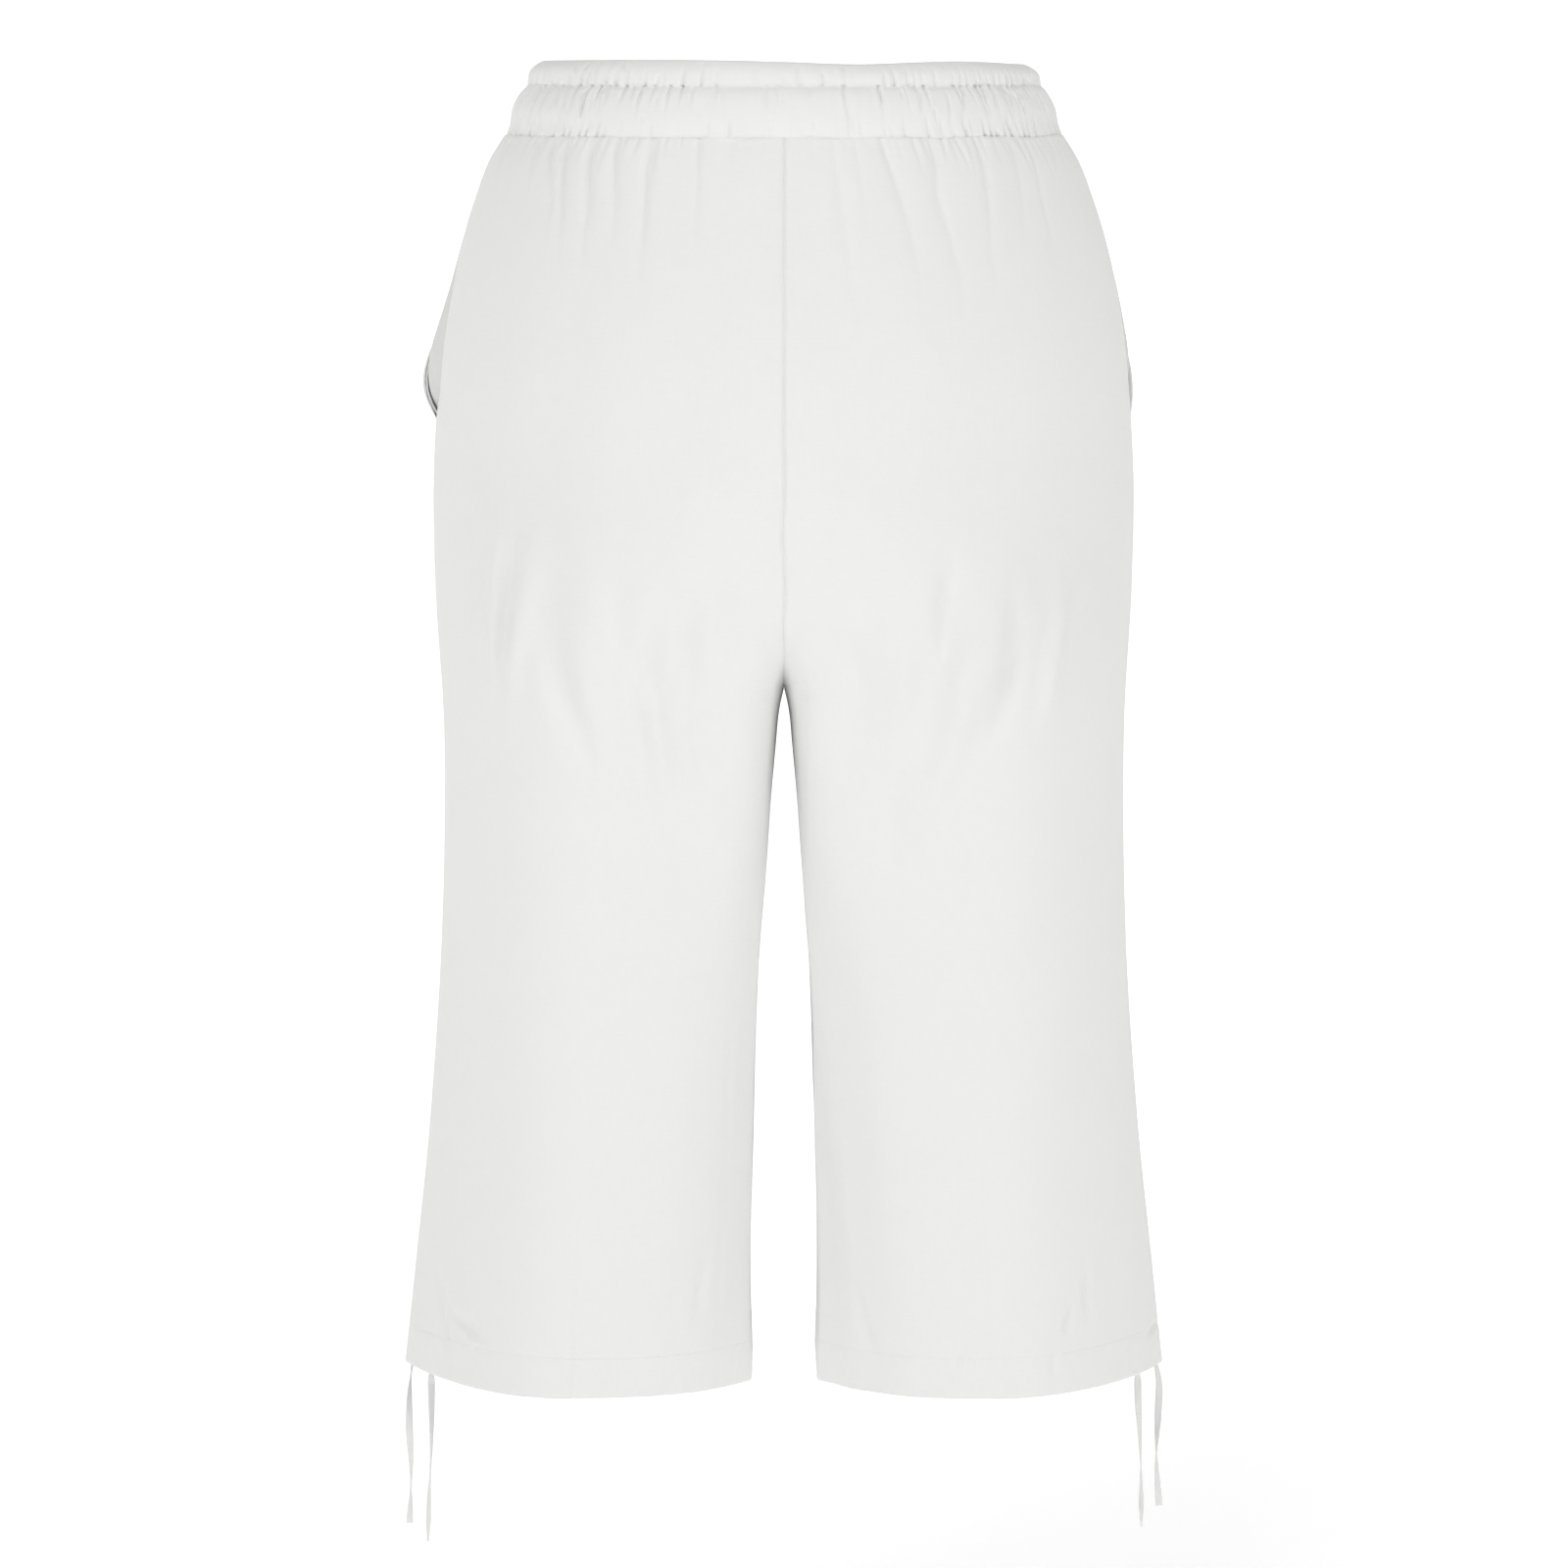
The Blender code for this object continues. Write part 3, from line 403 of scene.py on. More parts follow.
CAMERA_PLACE = (0.0, 2.8, 0.028)
CAMERA_TIPPED = 7.93
FLOOR_LEVEL = -0.90
FLOOR_CORNERS = 96
# The floor's profile: distance from the middle, and rise
FLOOR_PROFILE = ((0.0, 0.0), (0.5, 0.0), (2.0, 0.0), (4.0, 0.0), (6.0, 0.0), (7.5, 0.18),
                 (8.4, 0.65), (8.85, 1.4), (9.0, 2.4), (9.0, 4.0))
SKY_STRENGTH = 0.21
# Soft lights: name, azimuth and elevation in degrees, size in metres, power in watts
SOFTBOXES = (
    ("key_behind", 25.0, 45.0, 2.0, 53.0),
    ("low_left_behind", 50.0, 10.0, 2.0, 29.0),
    ("right_behind", -50.0, 12.0, 2.0, 51.0),
    ("key_before", 195.0, 45.0, 2.0, 7.0),
    ("low_left_before", 150.0, 10.0, 2.0, 8.0),
)
SOFTBOX_DISTANCE = 4.5
GARMENT_MIDDLE = -0.33


# ---- curves

def ease(share):
    """0 to 1 with level ends, for shares clipped to 0..1."""
    share = np.clip(share, 0.0, 1.0)
    return share * share * (3.0 - 2.0 * share)


def bell(share):
    """1 at 0, and off on both sides as exp(-share^2)."""
    return np.exp(-share ** 2)


def ranged(pair, draw):
    """A size from its least and what a draw from 0 to 1 adds."""
    return pair[0] + pair[1] * draw


def through(table, column, level):
    """Smooth curve through one column of a table whose first column is the level."""
    rows = np.array(sorted(row[:1] + (row[column],) for row in table))
    at, value = rows[:, 0], rows[:, 1]
    slope = np.gradient(value, at)
    level = np.clip(level, at[0], at[-1])
    low = np.clip(np.searchsorted(at, level) - 1, 0, len(at) - 2)
    span = at[low + 1] - at[low]
    k = (level - at[low]) / span
    return (value[low] * (1 + 2 * k) * (1 - k) ** 2 + slope[low] * span * k * (1 - k) ** 2
            + value[low + 1] * k * k * (3 - 2 * k) + slope[low + 1] * span * k * k * (k - 1))


def uneven(index, seed):
    """A fixed, scattered number from 0 to 1 for each index."""
    scattered = np.sin(np.asarray(index) * 12.9898 + seed * 78.233) * 43758.5453
    return scattered - np.floor(scattered)


def draws(index, seed, count):
    """A few scattered numbers for one index, each from the next seed."""
    return [uneven(index, seed + part) for part in range(count)]


def wander(along, wavelength, seed):
    """A smooth wandering line from -1 to 1: three sines of uneven length and phase."""
    total = 0.0
    for part in range(3):
        stretch = 0.7 + 0.9 * uneven(part, seed)
        phase = math.tau * uneven(part + 9, seed)
        total = total + np.sin(math.tau * along / (wavelength * stretch) + phase) / 3.0
    return total


def half_turned(angle):
    """The same angle between half a turn back and half a turn on."""
    return (angle + math.pi) % math.tau - math.pi


def face_of(panel):
    """1 at the back and -1 at the front."""
    return 1.0 if panel.startswith("back") else -1.0


# ---- the worn form

def ring(level):
    """Centre, reach, back depth and front depth of one leg's ring at each level."""
    outer = through(RINGS, 1, level)
    share = np.clip((level - FORK) / CROTCH_RISE, 0.0, 1.0)
    start = APEX_SPREAD * CROTCH_RISE / through(RINGS, 1, FORK)
    crossing = ease(share) + start * share * (1.0 - share) ** APEX_FADE
    leg_side = through(LEG_SPACE, 1, np.minimum(level, FORK))
    inner = np.where(level > FORK, leg_side * (1.0 - crossing) - outer * crossing, leg_side)
    depths = through(RINGS, 2, level), through(RINGS, 3, level)
    return (outer + inner) / 2, (outer - inner) / 2, *depths


def side_power(level):
    """Exponent of the depth in a ring's outer half: 2 is half an ellipse, less is pointed
    at the side seam."""
    down_leg = ease((SIDE_ROUND_TO - level) / (SIDE_ROUND_TO - HEM))
    return 2.0 + (HEM_SIDE_POWER - 2.0) * down_leg


def ring_shares(turn, level):
    """Shares of a ring's reach and of its depth at a turn from the side seam.

    The outer half holds across^2 + along^p = 1. The inner half holds
    across^q + along^q = 1 at the fork, and along = 1 - fall across^3 below it, as far as
    its flat inner side, where across is 1.
    """
    cosine, sine = np.cos(turn), np.sin(turn)
    outwards = np.sqrt(np.maximum(1.0 - np.abs(sine) ** side_power(level), 0.0))
    square = (np.abs(cosine) ** FORK_POWER + np.abs(sine) ** FORK_POWER) ** (1.0 / FORK_POWER)
    way_in = np.maximum(np.abs(turn) / (math.pi / 2) - 1.0, 0.0)
    across_in = np.minimum(way_in / FLAT_FROM, 1.0)
    fall = HEM_FALL * ease((FORK - level) / (FORK - HEM)) + FORK_FALL
    flat = (1.0 - fall) * (1.0 - way_in) / (1.0 - FLAT_FROM)
    along_in = np.where(way_in < FLAT_FROM, 1.0 - fall * across_in ** FALL_POWER, flat)
    pressed = ease((FORK - level) / PRESSED_OVER)
    across_in = across_in * pressed + np.abs(cosine) / square * (1.0 - pressed)
    along_in = np.sign(turn) * along_in * pressed + sine / square * (1.0 - pressed)
    inside = cosine < 0
    return np.where(inside, -across_in, outwards), np.where(inside, along_in, sine)


def turn_of(distance, level):
    """Turn from the side seam at which a ring lies at a distance from the middle plane."""
    centre, reach, _, _ = ring(level)
    share = np.clip((distance - centre) / reach, -1.0, 1.0)
    depth_share = (1.0 - np.abs(share) ** FORK_POWER) ** (1.0 / FORK_POWER)
    inner_turn = math.pi - np.arctan2(depth_share, np.abs(share))
    outer_turn = np.arcsin((1.0 - share ** 2) ** (1.0 / side_power(level)))
    return np.where(share < 0, inner_turn, outer_turn)


def plan_of(turn, level):
    """Metres outwards and backwards of the bare form's point, from the garment's axis."""
    centre, reach, back, front = ring(level)
    across, along = ring_shares(turn, level)
    return centre + reach * across, np.where(turn > 0, back, front) * along


def ring_step(turn, level):
    """Metres outwards and backwards along a ring for one unit of turn, over a short step."""
    _, reach, back, front = ring(level)
    depth = np.where(turn > 0, back, front)
    across_here, along_here = ring_shares(turn - STEP_TURN / 2, level)
    across_there, along_there = ring_shares(turn + STEP_TURN / 2, level)
    return (reach * (across_there - across_here) / STEP_TURN,
            depth * (along_there - along_here) / STEP_TURN)


def pace_of(turn, level):
    """Metres along a ring for one unit of turn."""
    return np.hypot(*ring_step(turn, level))


def middle_turn(level):
    """Turn from the side seam at which a ring meets the middle plane, or the inseam."""
    return np.where(level > FORK, turn_of(0.0, level), math.pi)


def off_middle(turn, level):
    """Metres along a ring from a turn to its end at the middle."""
    return (middle_turn(level) - np.abs(turn)) * pace_of(turn, level)


def down_mouth(level):
    """Share of the way down the pocket mouth, from 0 at the waist seam."""
    return np.clip((WAIST_SEAM - level) / (WAIST_SEAM - POCKET_END), 0.0, 1.0)


def mouth_turn(level):
    """Turn of the pocket mouth's edge, negative towards the front; 0 below the mouth."""
    return -MOUTH_TURN * np.clip((level - POCKET_END) / (WAIST_SEAM - POCKET_END), 0.0, 1.0)


def ring_point(side, turn, level):
    """Point of the bare form and its outward normal in plan. A turn is 0 at the side
    seam and positive to the back."""
    turn, level = np.broadcast_arrays(np.asarray(turn, float), np.asarray(level, float))
    out, back = plan_of(turn, level)
    outwards, backwards = ring_step(turn, level)
    length = np.hypot(outwards, backwards)
    hand = HANDS[side]
    point = np.stack([hand * out, back, level], axis=-1)
    normal = [hand * backwards / length, -outwards / length, np.zeros_like(level)]
    return point, np.stack(normal, axis=-1)


def lifted(side, turn, level, height):
    """Point of the form moved out along its normal by a height, and the normal."""
    point, normal = ring_point(side, turn, level)
    return point + normal * height[..., None], normal


def side_hollow(side, turn, level):
    """How far the back's side edge lies in where the pocket gapes beside it."""
    along = np.sin(math.pi * down_mouth(level) ** HOLLOW_LOW) ** HOLLOW_END
    off = turn * through(RINGS, 2, level)
    return -HOLLOW_SHARE * GAPE[side] * along * bell(off / HOLLOW_REACH)


def crotch_rise(turn, level):
    """How far the cloth between the legs rises to the back and to the front of the fork:
    slope depth^2 / (depth + blunt)."""
    out, back = np.abs(plan_of(turn, level))
    near = 1.0 - ease((out - CROTCH_NEAR) / CROTCH_FADE)
    over = (ease((level - FORK + CROTCH_BELOW) / CROTCH_FADE)
            * (1.0 - ease((level - FORK - CROTCH_ABOVE) / CROTCH_FADE)))
    return CROTCH_SLOPE * back ** 2 / (back + CROTCH_BLUNT) * near * over


def away_from_middle(turn, level):
    """0 by the middle plane, where the legs face each other, to 1 further out."""
    return ease((np.abs(plan_of(turn, level)[0]) - CALM_NEAR) / CALM_FADE)


def gape_relief(side, turn, level):
    """How far the front panel stands off near its pocket mouth. Down the mouth it is
    share^rise (1 - share)^fall, as a share of its peak."""
    share = down_mouth(level)
    peak = GAPE_RISE / (GAPE_RISE + GAPE_FALL)
    bulge = share ** GAPE_RISE * (1.0 - share) ** GAPE_FALL
    bulge = bulge / (peak ** GAPE_RISE * (1.0 - peak) ** GAPE_FALL)
    across = (mouth_turn(level) - turn) * through(RINGS, 3, level)
    return GAPE[side] * bulge * (1.0 - ease(across / GAPE_REACH))


# ---- creases

def crease_section(far, keen):
    """Height of a crease at a squared distance of so many half widths from its line."""
    if keen:
        root = math.sqrt(KEEN_BLUNT)
        return (np.exp(-KEEN_FALL * (np.sqrt(far + KEEN_BLUNT) - root))
                - SWELL_SHARE * np.exp(-far / KEEN_SWELL))
    return np.exp(-far) - SWELL_SHARE * np.exp(-far / SOFT_SWELL)


def crease(across, down, route, half_width, keen):
    """Profile of one crease and the share of the way along it, at each point.

    The route is a broken line in metres across and down the cloth. Each point takes its
    nearest place on it, at d half widths. A soft crease falls off as exp(-d^2), and a
    keen one as exp(-1.5 (sqrt(d^2 + 0.06) - sqrt(0.06))), which is sharp in its bottom.
    Both have a low swell of the other sign on both sides.
    """
    route = np.array(route, float)
    steps = np.diff(route, axis=0)
    spans = np.linalg.norm(steps, axis=1)
    total, before = spans.sum(), 0.0
    nearest = np.full(across.shape, np.inf)
    along = np.zeros(across.shape)
    for (from_across, from_down), (step_across, step_down), span in zip(route, steps, spans):
        right, below = across - from_across, down - from_down
        part = np.clip((right * step_across + below * step_down) / span ** 2, 0.0, 1.0)
        off = np.hypot(right - part * step_across, below - part * step_down)
        closer = off < nearest
        nearest = np.where(closer, off, nearest)
        along = np.where(closer, (before + part * span) / total, along)
        before += span
    return crease_section((nearest / half_width) ** 2, keen), along


def routed_relief(panel, turn, level, table, fade, keen=False):
    """Sum of a table's creases on one panel. fade gives the height along each one."""
    height = np.zeros(turn.shape)
    for rise, half_width, *route in table[panel]:
        pairs = np.array(route, float).reshape(-1, 2) * MM
        turns, levels = face_of(panel) * turn_of(pairs[:, 0], pairs[:, 1]), pairs[:, 1]
        reach = CREASE_REACH * half_width * MM
        near = (level > levels.min() - reach) & (level < levels.max() + reach)
        if not near.any():
            continue
        own_pace = float(pace_of(turns, levels).mean())
        points = np.stack([turns * own_pace, levels], axis=1)
        shape, along = crease(turn[near] * own_pace, level[near], points, half_width * MM, keen)
        height[near] += rise * MM * shape * fade(along)
    return height


def fade_down(along):
    """A gather's height: nearly full at the seam, and gone at its lower end."""
    return (0.45 + 0.55 * ease(along / 0.12)) * (1.0 - ease(along)) ** 0.8


def fade_both(along):
    """A fold's height: nothing at both ends and full between them."""
    return np.sin(math.pi * along) ** 1.2


def main_relief(side, turn, level):
    """Gathers and folds that the cloth, the pocket bag and the facing share."""
    height = np.zeros(turn.shape)
    for panel in ("back_" + side, "front_" + side):
        height -= GATHER_SCALE * routed_relief(panel, turn, level, GATHERS, fade_down, keen=True)
        height += FOLD_SCALE * routed_relief(panel, turn, level, FOLDS, fade_both)
    return height * ease(off_middle(turn, level) / 0.010) * away_from_middle(turn, level)


def pucker_relief(panel, turn, level):
    """Fine puckers under the waist seam: short troughs 4 to 7 mm apart, which lean and
    differ in length and depth, and are calmer near the middle."""
    face = face_of(panel)
    seed = 11 + 7 * (face > 0) + 3 * panel.endswith("left")
    height = np.zeros(turn.shape)
    near = level > PUCKER_END
    own_turn, own_level = turn[near] * face, level[near]
    pace = pace_of(face * own_turn, own_level)
    below = WAIST_SEAM - own_level
    total = np.zeros(own_turn.shape)
    for index in range(PUCKERS):
        shifted, longer, deeper, wider, leaning = draws(index, seed, 5)
        place = (index + 0.5 + 0.7 * (shifted - 0.5)) / PUCKERS * math.pi / 2
        strength = 0.30 + 0.70 * ease((math.cos(place) - 0.15) / 0.45)
        length = ranged(PUCKER_LENGTH, longer ** 1.5)
        depth = ranged(PUCKER_DEPTH, deeper) * strength
        away = (own_turn - place) * pace + PUCKER_LEAN * (leaning - 0.35) * below
        fall = 1.0 - ease(below / length)
        total -= depth * fall * crease_section((away / ranged(PUCKER_WIDTH, wider)) ** 2, True)
    height[near] = total
    return height


def tone_relief(side, turn, level):
    """Broad soft swells down the leg, a few centimetres apart, which turn the light."""
    seed = 41 if side == "left" else 57
    across = turn * pace_of(turn, level) + 0.012 * wander(level, 0.31, seed + 2)
    high, wide, tall = BROAD_SWELL
    broad = high * (wander(across, wide, seed) * (0.55 + 0.45 * wander(level, tall, seed + 1)))
    high, wide, tall = SMALL_SWELL
    slanted = wander(across + 0.15 * level, wide, seed + 5)
    small = high * (slanted * (0.5 + 0.5 * wander(level, tall, seed + 6)))
    keep = ease(off_middle(turn, level) / 0.020) * ease((WAIST_SEAM - level) / 0.080)
    return (broad + small) * (keep * away_from_middle(turn, level))


def hem_relief(side, turn, level):
    """The turned-up hem: a soft step and a stitch groove at its fold, and slight ropes
    that slant across it."""
    across = turn * pace_of(turn, level)
    above = level - HEM_FOLD
    height = HEM_STEP * ease(-above / HEM_FADE) - HEM_GROOVE * bell(above / 0.0009)
    in_hem = ease(-above / HEM_FADE) * ease((level - HEM) / HEM_FADE)
    roping = wander(across + 0.6 * level, 0.0085, 71 if side == "left" else 83)
    dimples = bell(above / 0.0030) * (1 + wander(across, 0.0075, 91)) / 2
    turned = ease((HEM + HEM_TURNED_OVER - level) / HEM_TURNED_OVER)
    return height + HEM_ROPES * roping * in_hem - HEM_DIMPLES * dimples - HEM_TURNED * turned


def seam_relief(off, rim=SEAM_RIM, depth=SEAM_DEPTH):
    """A seam's edge rolled in, with a low rim beside it, at a distance off the seam."""
    return rim * bell((off - SEAM_RIM_AT) / SEAM_RIM_WIDTH) - depth * bell(off / SEAM_HALF_WIDTH)


def waist_seam_relief(off, angle):
    """The waist seam's edge, which is pulled in more in some places than in others."""
    pulled = WAIST_SEAM_DEPTH * (1.0 + 0.8 * wander(half_turned(angle), 0.19, 51))
    return seam_relief(off, 0.0, pulled)


# ---- rows and columns

def spread(count, edges):
    """Shares from 0 to 1, count evenly spaced steps with closer ones by both edges."""
    close = np.array(edges)
    clear = close[-1] * 1.3
    even = np.linspace(0.0, 1.0, count + 1)[1:-1]
    even = even[(even > clear) & (even < 1.0 - clear)]
    return np.concatenate([close, even, 1.0 - close[::-1]])


def trimmed(values):
    """Values with a few even ones dropped, so the inner layer's step divides them."""
    spare = (len(values) - 1) % INNER_STEP
    middle = len(values) // 2
    return np.delete(values, [middle + 2 * i for i in range(spare)], axis=0)


def coarse(grid):
    """The rows and columns of a grid that the inner layer has too."""
    return grid[::INNER_STEP, ::INNER_STEP]


def length_along(points):
    """Distance along a line of points, from its start to each of them."""
    steps = np.linalg.norm(np.diff(points, axis=0), axis=1)
    return np.concatenate([[0.0], np.cumsum(steps)])


def crotch_rows(count):
    """Level and turn of each row's middle end, evenly spaced along the crotch curve from
    the pocket bag's end down to the fork."""
    level = FORK + (BAG_END - FORK) * np.linspace(1.0, 0.0, 3000) ** 4
    turn = turn_of(0.0, level)
    depth = ring_shares(turn, level)[1] * through(RINGS, 2, level)
    along = length_along(np.stack([level, depth], axis=1))
    stations = np.linspace(0.0, along[-1], count + 1)[:-1]
    return np.interp(stations, along, level), np.interp(stations, along, turn)


def panel_rows():
    """The level of each row at the side edge and at the middle edge, and its turn there,
    laid out as the solid's rows are, and closer by the waist seam and the hem."""
    upper, seat, leg = (np.linspace(0.0, 1.0, rows)[:-1]
                        for rows in (WAIST_ROWS, SEAT_ROWS, LEG_ROWS))
    upper = WAIST_SEAM + (BAG_END - WAIST_SEAM) * upper ** 1.35
    leg_end, hem_start, edge = HEM_FOLD + FOLD_BAND, HEM_FOLD - FOLD_BAND, HEM + EDGE_BAND
    crotch_level, crotch_turn = crotch_rows(len(seat))
    hem = [np.linspace(leg_end, hem_start, HEM_ROWS)[:-1],
           np.linspace(hem_start, edge, HEM_ROWS)[:-1], np.linspace(edge, HEM, 5)]
    side = [upper, BAG_END + (THIGH - BAG_END) * seat, THIGH + (leg_end - THIGH) * leg]
    middle = [upper, crotch_level, FORK + (leg_end - FORK) * leg]
    side, middle = np.concatenate(side + hem), np.concatenate(middle + hem)
    below = np.full(len(middle) - len(upper) - len(seat), math.pi)
    end = np.concatenate([middle_turn(upper), crotch_turn, below])
    return trimmed(np.stack([side, middle, end], axis=1))


def panel_grid(face):
    """Turns and levels of a panel's points. A row leaves its side edge level."""
    rows = panel_rows()
    shares = trimmed(spread(PANEL_COLUMNS, EDGE_COLUMNS))
    side, middle = rows[:, :1], rows[:, 1:2]
    levels = side + (middle - side) * shares ** 2
    edge = mouth_turn(side) if face == "front" else 0.0 * side
    end = rows[:, 2:] * face_of(face)
    return edge + (end - edge) * shares, levels


# ---- meshes

def numbered(points):
    """Point numbers of a grid, in its own rows and columns."""
    return np.arange(points[..., 0].size).reshape(points.shape[:-1])


def wrapped(index):
    """A grid of point numbers closed round its columns."""
    return np.concatenate([index, index[:, :1]], axis=1)


def quads(index):
    """Faces of a grid of point numbers."""
    corners = (index[:-1, :-1], index[:-1, 1:], index[1:, 1:], index[1:, :-1])
    return np.stack(corners, axis=-1).reshape(-1, 4)


def join_borders(outer, inner):
    """Triangles between an outer chain of points and an inner one, which has one point
    to every INNER_STEP of the outer one's."""
    k = np.arange(len(outer) - 1)
    near = (2 * k + 1 + INNER_STEP) // (2 * INNER_STEP)
    j = np.arange(len(inner) - 1)
    fans = np.stack([outer[k], outer[k + 1], inner[near]], axis=1)
    wedges = np.stack([inner[j + 1], inner[j], outer[INNER_STEP * j + 1]], axis=1)
    return np.concatenate([fans, wedges])


def add_object(name, data, location=(0.0, 0.0, 0.0), turned=(0.0, 0.0, 0.0)):
    """An object with its data, put into the scene."""
    item = bpy.data.objects.new(name, data)
    item.location, item.rotation_euler = location, turned
    bpy.context.collection.objects.link(item)
    return item


def add_mesh(name, vertices, face_groups, cloth_uv, material):
    """A smooth mesh object with its faces turned outwards. cloth_uv is metres across
    and along the cloth at each point, which its weave follows."""
    mesh = bpy.data.meshes.new(name)
    faces = [face for group in face_groups for face in np.asarray(group).tolist()]
    mesh.from_pydata(vertices.reshape(-1, 3).tolist(), [], faces)
    turned = bmesh.new()
    turned.from_mesh(mesh)
    bmesh.ops.recalc_face_normals(turned, faces=turned.faces)
    turned.to_mesh(mesh)
    turned.free()
    corner = np.zeros(len(mesh.loops), dtype=np.int32)
    mesh.loops.foreach_get("vertex_index", corner)
    layer = mesh.uv_layers.new(name="cloth")
    uv = np.asarray(cloth_uv, dtype=np.float32).reshape(-1, 2)
    layer.data.foreach_set("uv", uv[corner].ravel())
    mesh.shade_smooth()
    mesh.set_sharp_from_angle(angle=math.radians(60.0))
    mesh.materials.append(material)
    piece = add_object(name, mesh)
    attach(piece, "root")
    return piece


def add_shell(node, outer, inner, cloth_uv, material, around=False):
    """The cloth of one solid: a closed shell between a fine outer grid and a coarse inner
    grid of points, which are closed round their columns if asked."""
    index = numbered(outer)
    low = index.size + numbered(inner)
    if around:
        index, low = wrapped(index), wrapped(low)
    borders = [(index[0], low[0]), (index[-1], low[-1])]
    if not around:
        borders += [(index[:, 0], low[:, 0]), (index[:, -1], low[:, -1])]
    groups = [quads(index), quads(low)[:, ::-1]] + [join_borders(*pair) for pair in borders]
    vertices = np.concatenate([outer.reshape(-1, 3), inner.reshape(-1, 3)])
    uv = np.concatenate([cloth_uv.reshape(-1, 2), coarse(cloth_uv).reshape(-1, 2)])
    piece = add_mesh(node + "_cloth", vertices, groups, uv, material)
    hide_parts(node)
    return piece


# ---- panels

def waist_wave(angle):
    """How far the waist seam wanders up and down on its way round."""
    return 0.0005 * wander(angle, 0.55, 5) + 0.0003 * wander(angle, 0.16, 6)


def panel_uv(turn, level):
    """Metres across and along a panel's cloth."""
    return np.stack([turn * through(RINGS, 1, level), level], axis=-1)


def panel_relief(panel, turn, level):
    """All of a panel's relief on its outer face."""
    face, side = panel.split("_")
    pace = pace_of(turn, level)
    height = main_relief(side, turn, level) + pucker_relief(panel, turn, level)
    height += HEM_CREASE_SCALE * routed_relief(panel, turn, level, HEM_CREASES, fade_both)
    height += tone_relief(side, turn, level) + hem_relief(side, turn, level)
    from_side = np.abs(turn) * pace
    if face == "front":
        from_mouth = (mouth_turn(level) - turn) * pace
        folded = -MOUTH_EDGE[0] * bell(from_mouth / MOUTH_EDGE[1])
        folded -= MOUTH_GROOVE[0] * bell((from_mouth - MOUTH_STITCH_IN) / MOUTH_GROOVE[1])
        height += np.where(level > POCKET_END, folded, seam_relief(from_side))
        height += gape_relief(side, turn, level)
    else:
        height += seam_relief(from_side) + side_hollow(side, turn, level)
    # The middle seam's roll eases off above the fork, where its two edges face each other
    rolled = np.where(level > FORK, ease((level - FORK - 0.012) / 0.045), 1.0)
    height += seam_relief(off_middle(turn, level)) * rolled
    # The angle round the waist, from the wearer's left
    angle = turn if side == "left" else math.pi - turn
    return height + waist_seam_relief(WAIST_SEAM - level, angle)


def add_panel(face, side):
    """A back or front panel: half of the seat or belly and half of a leg, in one."""
    panel = face + "_" + side
    turn, level = panel_grid(face)
    outer, _ = lifted(side, turn, level, panel_relief(panel, turn, level))
    inner_turn, inner_level = coarse(turn), coarse(level)
    inside = side, inner_turn, inner_level
    smooth = main_relief(*inside) + tone_relief(*inside)
    if face == "front":
        smooth += gape_relief(*inside)
    wall = SHELL + (HEM_SHELL - SHELL) * ease((HEM_FOLD + 0.002 - inner_level) / 0.004)
    inner, _ = lifted(*inside, smooth - wall)
    hand = HANDS[side]
    for grid, turns, levels in ((outer, turn, level), (inner, inner_turn, inner_level)):
        # The edges at the middle sway alike on both sides, so that they still meet
        near_middle = bell(off_middle(turns, levels) / 0.006) * ease((levels - FORK) / 0.02)
        sway = 0.0005 * wander(levels, 0.045, 31) * near_middle
        grid[..., 0] = hand * np.maximum(hand * grid[..., 0], 0.0) + sway
        angle = np.arctan2(grid[..., 1], grid[..., 0])
        grid[..., 2] += waist_wave(angle) * (1.0 - ease((WAIST_SEAM - levels) / 0.012))
        grid[..., 2] += 0.0006 * wander(angle, 0.8, 8) * ease((HEM + 0.03 - levels) / 0.03)
        grid[..., 2] += crotch_rise(turns, levels)
    return add_shell(panel, outer, inner, panel_uv(turn, level), cotton)


# ---- pockets

def pocket_grid():
    """Turn of a pocket's outer and inner edges, shares between them, and levels, down to
    the bag's end."""
    level = np.linspace(WAIST_SEAM, BAG_END, POCKET_ROWS)[:, None]
    share = np.linspace(0.0, 1.0, POCKET_COLUMNS)[None, :]
    edge = mouth_turn(level)
    end = edge + (-middle_turn(level) - edge) * POCKET_SHARE
    return edge, end, share, level * np.ones_like(share)


def add_pocket_layer(node, side, turn, level, height):
    """A thin layer of pocket cloth at a height off the form."""
    outer, normal = lifted(side, turn, level, height)
    inner = coarse(outer) - coarse(normal) * POCKET_SHELL
    # The pocket cloth is drawn greyer than the panels as painted shade for the pocket's inside
    return add_shell(node, outer, inner, panel_uv(turn, level), pocket_cotton_painted_shade)


def add_pocket_bag(side):
    """The pocket's front layer, under the front panel from the mouth's edge inwards."""
    edge, end, share, level = pocket_grid()
    turn = edge + (end - edge) * share
    height = main_relief(side, turn, level) + gape_relief(side, turn, level)
    height -= PANEL_WALL + SEAM_GAP
    return add_pocket_layer("pocket_bag_" + side, side, turn, level, height)


